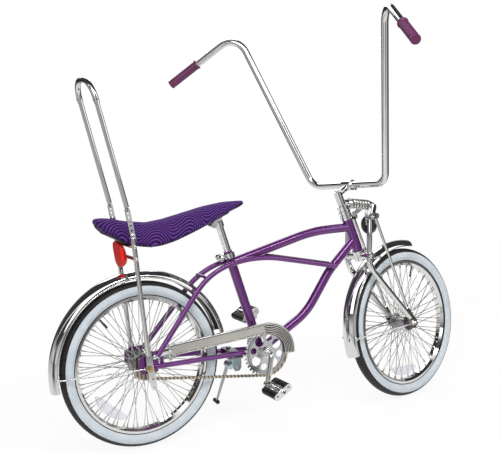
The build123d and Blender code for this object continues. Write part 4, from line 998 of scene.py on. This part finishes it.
def fender_section(crest, hem):
    """Corners of a mudguard's section as (radius, sideways): an arched top and two straight skirts."""
    edge = crest - fender_depth
    outer = arch(edge, crest, fender_half_width)
    inner = arch(edge, crest - fender_wall, fender_half_width - fender_wall)
    skirts = [(hem, fender_half_width), (hem, fender_half_width - fender_wall)]
    far_skirts = [(radius, -sideways) for radius, sideways in skirts[::-1]]
    return outer + skirts + inner[::-1] + far_skirts


for name, body, place, crest, from_angle, to_angle, rivet_x, rivet_z in fender_trim:
    hem = crest - fender_hem_drop
    bm = arc_strip(fender_section(crest, hem), from_angle, to_angle, 150)
    add_piece(bm, name + "_fender_shell", [chrome], body, place, (name + "_fender",))
    bm = bmesh.new()
    for side in (-1, 1):
        out_way = (0, side, 0)
        section = round_section(hem_bead, hem + 1.0, side * (fender_half_width - 0.2))
        join(bm, arc_strip(section, from_angle, to_angle, 110))
        dome(bm, (rivet_x, side * (fender_half_width + 5.2), rivet_z), out_way, 4.4, 2.6)
        washer(bm, (rivet_x, side * (fender_half_width + 0.1), rivet_z), out_way, 5.6, 5.0)
    add_piece(bm, name + "_fender_hem", [chrome], body, place, crease=60.0)

# Bolts of the sissy bar and its straps, and the sleeve over its top bend
strap_bolts = [(-48.6, 470.0), (-35.6, 394.0)]
strut_rivets = [(-32.2, 363.0), (-28.8, 327.0)]
bm = bmesh.new()
for side in (-1, 1):
    out_way = (0, side, 0)
    in_way = (0, -side, 0)
    for x, z in strap_bolts:
        washer(bm, (x, side * strap_face, z), out_way, 7.4)
        bolt(bm, (x, side * (strap_face + 1.0), z), out_way, 5.6, 4.0)
        bolt(bm, (x, side * (strap_face - 5.0), z), in_way, 5.6, 3.6)
    for x, z in strut_rivets:
        dome(bm, (x, side * (strut_face - 0.4), z), out_way, 5.2, 3.4)
add_piece(bm, "sissy_bolts", [chrome], "frame", bike)
bend_radius = 60.0
bend_inset = sissy_offset - bend_radius
sleeve_tail = 7.0
leg_way = Vector((-90.0, 0.0, 361.0)).normalized()
bar_top = Vector((-140.0, 0.0, 839.0))
bend_centre = bar_top - leg_way * bend_radius
points = [bend_centre + Vector((0, -sissy_offset, 0)) - leg_way * sleeve_tail]
for side, turns in ((-1, range(0, 91, 15)), (1, range(90, -1, -15))):
    for turn in turns:
        angle = math.radians(turn)
        sideways = side * (bend_inset + bend_radius * math.cos(angle))
        points.append(bend_centre + Vector((0, sideways, 0)) + leg_way * bend_radius * math.sin(angle))
points.append(bend_centre + Vector((0, sissy_offset, 0)) - leg_way * sleeve_tail)
bm = bmesh.new()
bent_tube(bm, points, sleeve_radius, 6)
add_piece(bm, "sissy_sleeve", [chrome], "frame", bike, crease=60.0)
bm = bmesh.new()
for side in (-1, 1):
    spot = bend_centre + Vector((0, side * sissy_offset, 0)) + leg_way * 4.0
    dome(bm, spot + Vector((-sleeve_radius * 0.97, 0, -2.0)), (-1, 0, -0.25), 2.8, 1.4)
    dome(bm, spot + Vector((0, side * sleeve_radius, 0)), (0, side, 0), 2.8, 1.4)
add_piece(bm, "sissy_sleeve_screws", [dark_steel], "frame", bike)

# Bolts of the stem and of the fork's legs
stem_height = 464.0
stem_top = Vector((axis_foot - stem_height / math.tan(math.radians(head_angle)), 0, stem_height))
clamp_right = Vector((766.0, -13.0, 470.0))
clamp_left = Vector((766.0, 13.0, 470.0))
leg_bolt_x = 797.0
leg_bolt_z = 371.0
bm = bmesh.new()
washer(bm, stem_top, steer_up, 10.5, 1.4)
bolt(bm, stem_top + steer_up * 1.2, steer_up, 7.4, 6.0)
rod(bm, clamp_right, clamp_left, 4.2, 16)
bolt(bm, clamp_right, right_way, 6.6, 4.5)
bolt(bm, clamp_left, left_way, 6.6, 5.5)
for side in (-1, 1):
    out_way = (0, side, 0)
    washer(bm, (leg_bolt_x, side * (fork_half_width + 6.4), leg_bolt_z), out_way, 7.4)
    bolt(bm, (leg_bolt_x, side * (fork_half_width + 7.4), leg_bolt_z), out_way, 5.8, 4.4)
add_piece(bm, "fork_bolts", [chrome], "fork", front)

# Screws of the stand's bracket and of the chainguard
bm = bmesh.new()
dome(bm, (313.0, -13.8, -56.0), right_way, 4.8, 2.8)
bolt(bm, (375.0, guard_face - 0.2, 74.0), right_way, 4.4, 2.6)
add_piece(bm, "stand_screw", [spoke_steel], "frame", bike)

# Velour seat cushion, puffed up over its pan, with a welt along its lower edge
seat_inset = 0.0006
puff_cap = 0.0045
puff_steps = 20
voxel = 0.005
underside_dot = 0.75
welt_radius = 0.0017
welt_lift = 0.0004
welt_end_x = -118.0
welt_end_z = 424.0
welt_end_half_width = 12.0
seat_down = (bike.to_3x3() @ Vector((0, 0, -1))).normalized()


def apply_modifier(piece, kind, **values):
    """Adds a modifier, sets its values and applies it."""
    bpy.context.view_layer.objects.active = piece
    piece.select_set(True)
    made = piece.modifiers.new(kind.lower(), kind)
    for key, value in values.items():
        setattr(made, key, value)
    bpy.ops.object.modifier_apply(modifier=made.name)
    piece.select_set(False)


def puff(piece):
    """Blows the cushion up like filled cloth, with its underside held, and keeps the swelling small."""
    mesh = piece.data
    held = piece.vertex_groups.new(name="underside")
    for vert in mesh.vertices:
        if vert.normal.dot(seat_down) > underside_dot:
            held.add([vert.index], 1.0, "REPLACE")
    start = [vert.co.copy() for vert in mesh.vertices]
    cloth = piece.modifiers.new("puff", "CLOTH")
    cloth.settings.use_pressure = True
    cloth.settings.uniform_pressure_force = 4.0
    cloth.settings.effector_weights.gravity = 0.0
    cloth.settings.vertex_group_mass = "underside"
    cloth.settings.quality = 5
    scene = bpy.context.scene
    for step in range(1, puff_steps + 1):
        scene.frame_set(step)
    grown = piece.evaluated_get(bpy.context.evaluated_depsgraph_get())
    swollen = [vert.co.copy() for vert in grown.data.vertices]
    piece.modifiers.remove(cloth)
    scene.frame_set(1)
    for vert, before, after in zip(mesh.vertices, start, swollen):
        move = after - before
        if move.length > puff_cap:
            move = move.normalized() * puff_cap
        vert.co = before + move
    mesh.update()


def seat():
    """The CAD cushion rebuilt as an even mesh, drawn in a little, puffed up and smoothed."""
    source = from_node("seat_cushion")
    mesh = bpy.data.meshes.new("velour_seat")
    source.to_mesh(mesh)
    source.free()
    piece = bpy.data.objects.new("velour_seat", mesh)
    bpy.context.scene.collection.objects.link(piece)
    mesh.materials.append(seat_velour)
    apply_modifier(piece, "REMESH", mode="VOXEL", voxel_size=voxel, use_smooth_shade=True)
    apply_modifier(piece, "SMOOTH", factor=0.5, iterations=5)
    depths = [0.0 if vert.normal.dot(seat_down) > underside_dot else seat_inset for vert in mesh.vertices]
    moved = [vert.co - vert.normal * depth for vert, depth in zip(mesh.vertices, depths)]
    for vert, place in zip(mesh.vertices, moved):
        vert.co = place
    mesh.update()
    puff(piece)
    apply_modifier(piece, "SMOOTH", factor=0.5, iterations=3)
    apply_modifier(piece, "SUBSURF", levels=1, render_levels=1)
    for polygon in mesh.polygons:
        polygon.use_smooth = True
    return piece


cushion = seat()
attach(cushion, "frame")
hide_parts("seat_cushion")

right_edge = [Vector((x, -half_width, z)) for x, z, half_width in seat_rows]
left_edge = [Vector((x, half_width, z)) for x, z, half_width in seat_rows]
ends = [Vector((welt_end_x, side * welt_end_half_width, welt_end_z)) for side in (1, -1)]
welt_line = []
bpy.context.view_layer.update()
for corner in right_edge + left_edge[::-1] + ends:
    _, spot, normal, _ = cushion.closest_point_on_mesh(bike @ corner)
    welt_line.append(spot + normal * welt_lift)
bm = bmesh.new()
bent_tube(bm, welt_line, welt_radius, 3, True)
add_piece(bm, "seat_welt", [piping_vinyl], "frame", crease=60.0)

# Camera
camera_data = bpy.data.cameras.new("camera")
camera_data.sensor_fit = "HORIZONTAL"
camera_data.sensor_width = 36.0
camera_data.lens = camera_lens
camera = bpy.data.objects.new("camera", camera_data)
camera.location = camera_place
camera.rotation_euler = [math.radians(angle) for angle in camera_turn]
bpy.context.scene.collection.objects.link(camera)
bpy.context.scene.camera = camera

# Brightness of the studio round the bicycle, as its metal mirrors it. Angles are counted from the
# front of the studio, where the photographer stands, and grow towards the right.
studio_front = math.radians(-117.7)
round_the_studio = [
    # turn from -180 to 180 degrees, brightness
    (-180, 0.60), (-174, 0.60), (-166, 0.04), (-112, 0.04), (-102, 0.55), (-64, 0.75), (-54, 0.08),
    (-42, 0.10), (-32, 0.80), (12, 0.62), (22, 0.10), (34, 0.18), (44, 0.60), (64, 0.72), (74, 0.08),
    (86, 0.25), (96, 0.03), (166, 0.04), (174, 0.60), (180, 0.60),
]
over_the_studio = [
    # angle up from the front and over to the back, brightness
    (0, 0.50), (14, 0.34), (24, 0.05), (56, 0.04), (61, 1.00), (67, 1.00), (72, 0.04), (120, 0.04),
    (156, 0.05), (164, 0.15), (172, 1.00), (180, 1.00),
]


def studio_shade(tree, direction):
    """Brightness round the studio, brightness overhead and the height, each for a direction."""
    turned = tree.node("ShaderNodeMapping", Rotation=(0.0, 0.0, -studio_front))
    tree.link(direction, turned.inputs["Vector"])
    forward, sideways, upward = tree.split(turned.outputs["Vector"])
    share = tree.range(tree.maths("ARCTAN2", sideways, forward), 0.0, 1.0, -math.pi, math.pi)
    level = tree.ramp(share, [((angle + 180) / 360, (shade,) * 3) for angle, shade in round_the_studio])
    share = tree.range(tree.maths("ARCTAN2", upward, forward), 0.0, 1.0, 0.0, math.pi)
    above = tree.ramp(share, [(angle / 180, (shade,) * 3) for angle, shade in over_the_studio])
    return level, above, upward


# Floor: to the camera almost white near the bicycle, where it takes a faint shadow, and white further
# out. In the metal it is pale near the bicycle and passes into the studio's brightness further out.
floor_radius = 14.0
shadow_reach = (1.2, 3.0)
mirror_reach = (1.0, 1.9)
fade_reach = (2.2, 5.0)
bm = bmesh.new()
bmesh.ops.create_circle(bm, cap_ends=True, segments=96, radius=floor_radius)
mesh = bpy.data.meshes.new("floor")
bm.to_mesh(mesh)
bm.free()
floor = bpy.data.objects.new("floor", mesh)
bpy.context.scene.collection.objects.link(floor)
ground = Surface("floor_white")
ground.set(Base_Color=(0.86, 0.86, 0.86, 1.0), Roughness=0.9, Specular_IOR_Level=0.1)
place = ground.place()
distance = ground.node("ShaderNodeVectorMath", operation="LENGTH")
ground.link(place, distance.inputs[0])
far = distance.outputs["Value"]
rays = ground.node("ShaderNodeLightPath")
glossy = rays.outputs["Is Glossy Ray"]
level, _, _ = studio_shade(ground, place)
dimmed = ground.times(level, ground.range(far, 1.0, 0.66, *fade_reach))
mirrored = ground.lerp(ground.range(far, 0.0, 1.0, *mirror_reach), 0.92, dimmed)
glow = ground.node("ShaderNodeEmission", Color=(1.0, 1.0, 1.0, 1.0))
ground.link(ground.lerp(glossy, 1.0, mirrored), glow.inputs["Strength"])
seen = ground.times(rays.outputs["Is Camera Ray"], ground.range(far, 0.88, 1.0, *shadow_reach))
glossy_or_clear = ground.maths("MAXIMUM", glossy, rays.outputs["Is Transmission Ray"])
blend = ground.node("ShaderNodeMixShader")
ground.link(ground.maths("MAXIMUM", seen, glossy_or_clear), blend.inputs["Fac"])
ground.link(ground.shader.outputs["BSDF"], blend.inputs[1])
ground.link(glow.outputs["Emission"], blend.inputs[2])
ground.link(blend.outputs["Shader"], ground.tree.nodes["Material Output"].inputs["Surface"])
mesh.materials.append(ground.material)

# World: white for the camera, the studio for metal, and a plain pale light for the rest
plain_light = 0.55
overhead_heights = (0.10, 0.26)
world = bpy.data.worlds.new("studio")
world.use_nodes = True
bpy.context.scene.world = world
sky = Tree(world.node_tree)
background = world.node_tree.nodes["Background"]
background.inputs["Color"].default_value = (1.0, 1.0, 1.0, 1.0)
rays = sky.node("ShaderNodeLightPath")
direction = sky.node("ShaderNodeTexCoord").outputs["Generated"]
level, above, height = studio_shade(sky, direction)
mirrored = sky.lerp(sky.range(height, 0.0, 1.0, *overhead_heights), level, above)
seen = sky.maths("MAXIMUM", rays.outputs["Is Camera Ray"], rays.outputs["Is Transmission Ray"])
plain = sky.range(seen, plain_light, 1.0)
sky.link(sky.lerp(rays.outputs["Is Glossy Ray"], plain, mirrored), background.inputs["Strength"])

# Lamps, aimed at the middle of the bicycle
lamp_aim = Vector((0.0, 0.0, 0.5))
lamps = [
    # name, place, length, width, power
    ("key_lamp", (-2.4, -2.6, 3.2), 2.8, 2.8, 54.0),
    ("fill_lamp", (2.6, -2.2, 2.4), 2.6, 2.6, 30.0),
    ("back_lamp", (0.6, 3.2, 2.8), 2.6, 2.6, 50.0),
    ("strip_lamp", (-0.3, -1.6, 2.7), 2.6, 0.32, 36.0),
]
for name, spot, length, width, power in lamps:
    light = bpy.data.lights.new(name, "AREA")
    light.shape = "RECTANGLE"
    light.size = length
    light.size_y = width
    light.energy = power
    lamp = bpy.data.objects.new(name, light)
    lamp.location = spot
    lamp.rotation_euler = (lamp_aim - Vector(spot)).to_track_quat("-Z", "Y").to_euler()
    bpy.context.scene.collection.objects.link(lamp)

bpy.context.scene.view_settings.view_transform = "Standard"
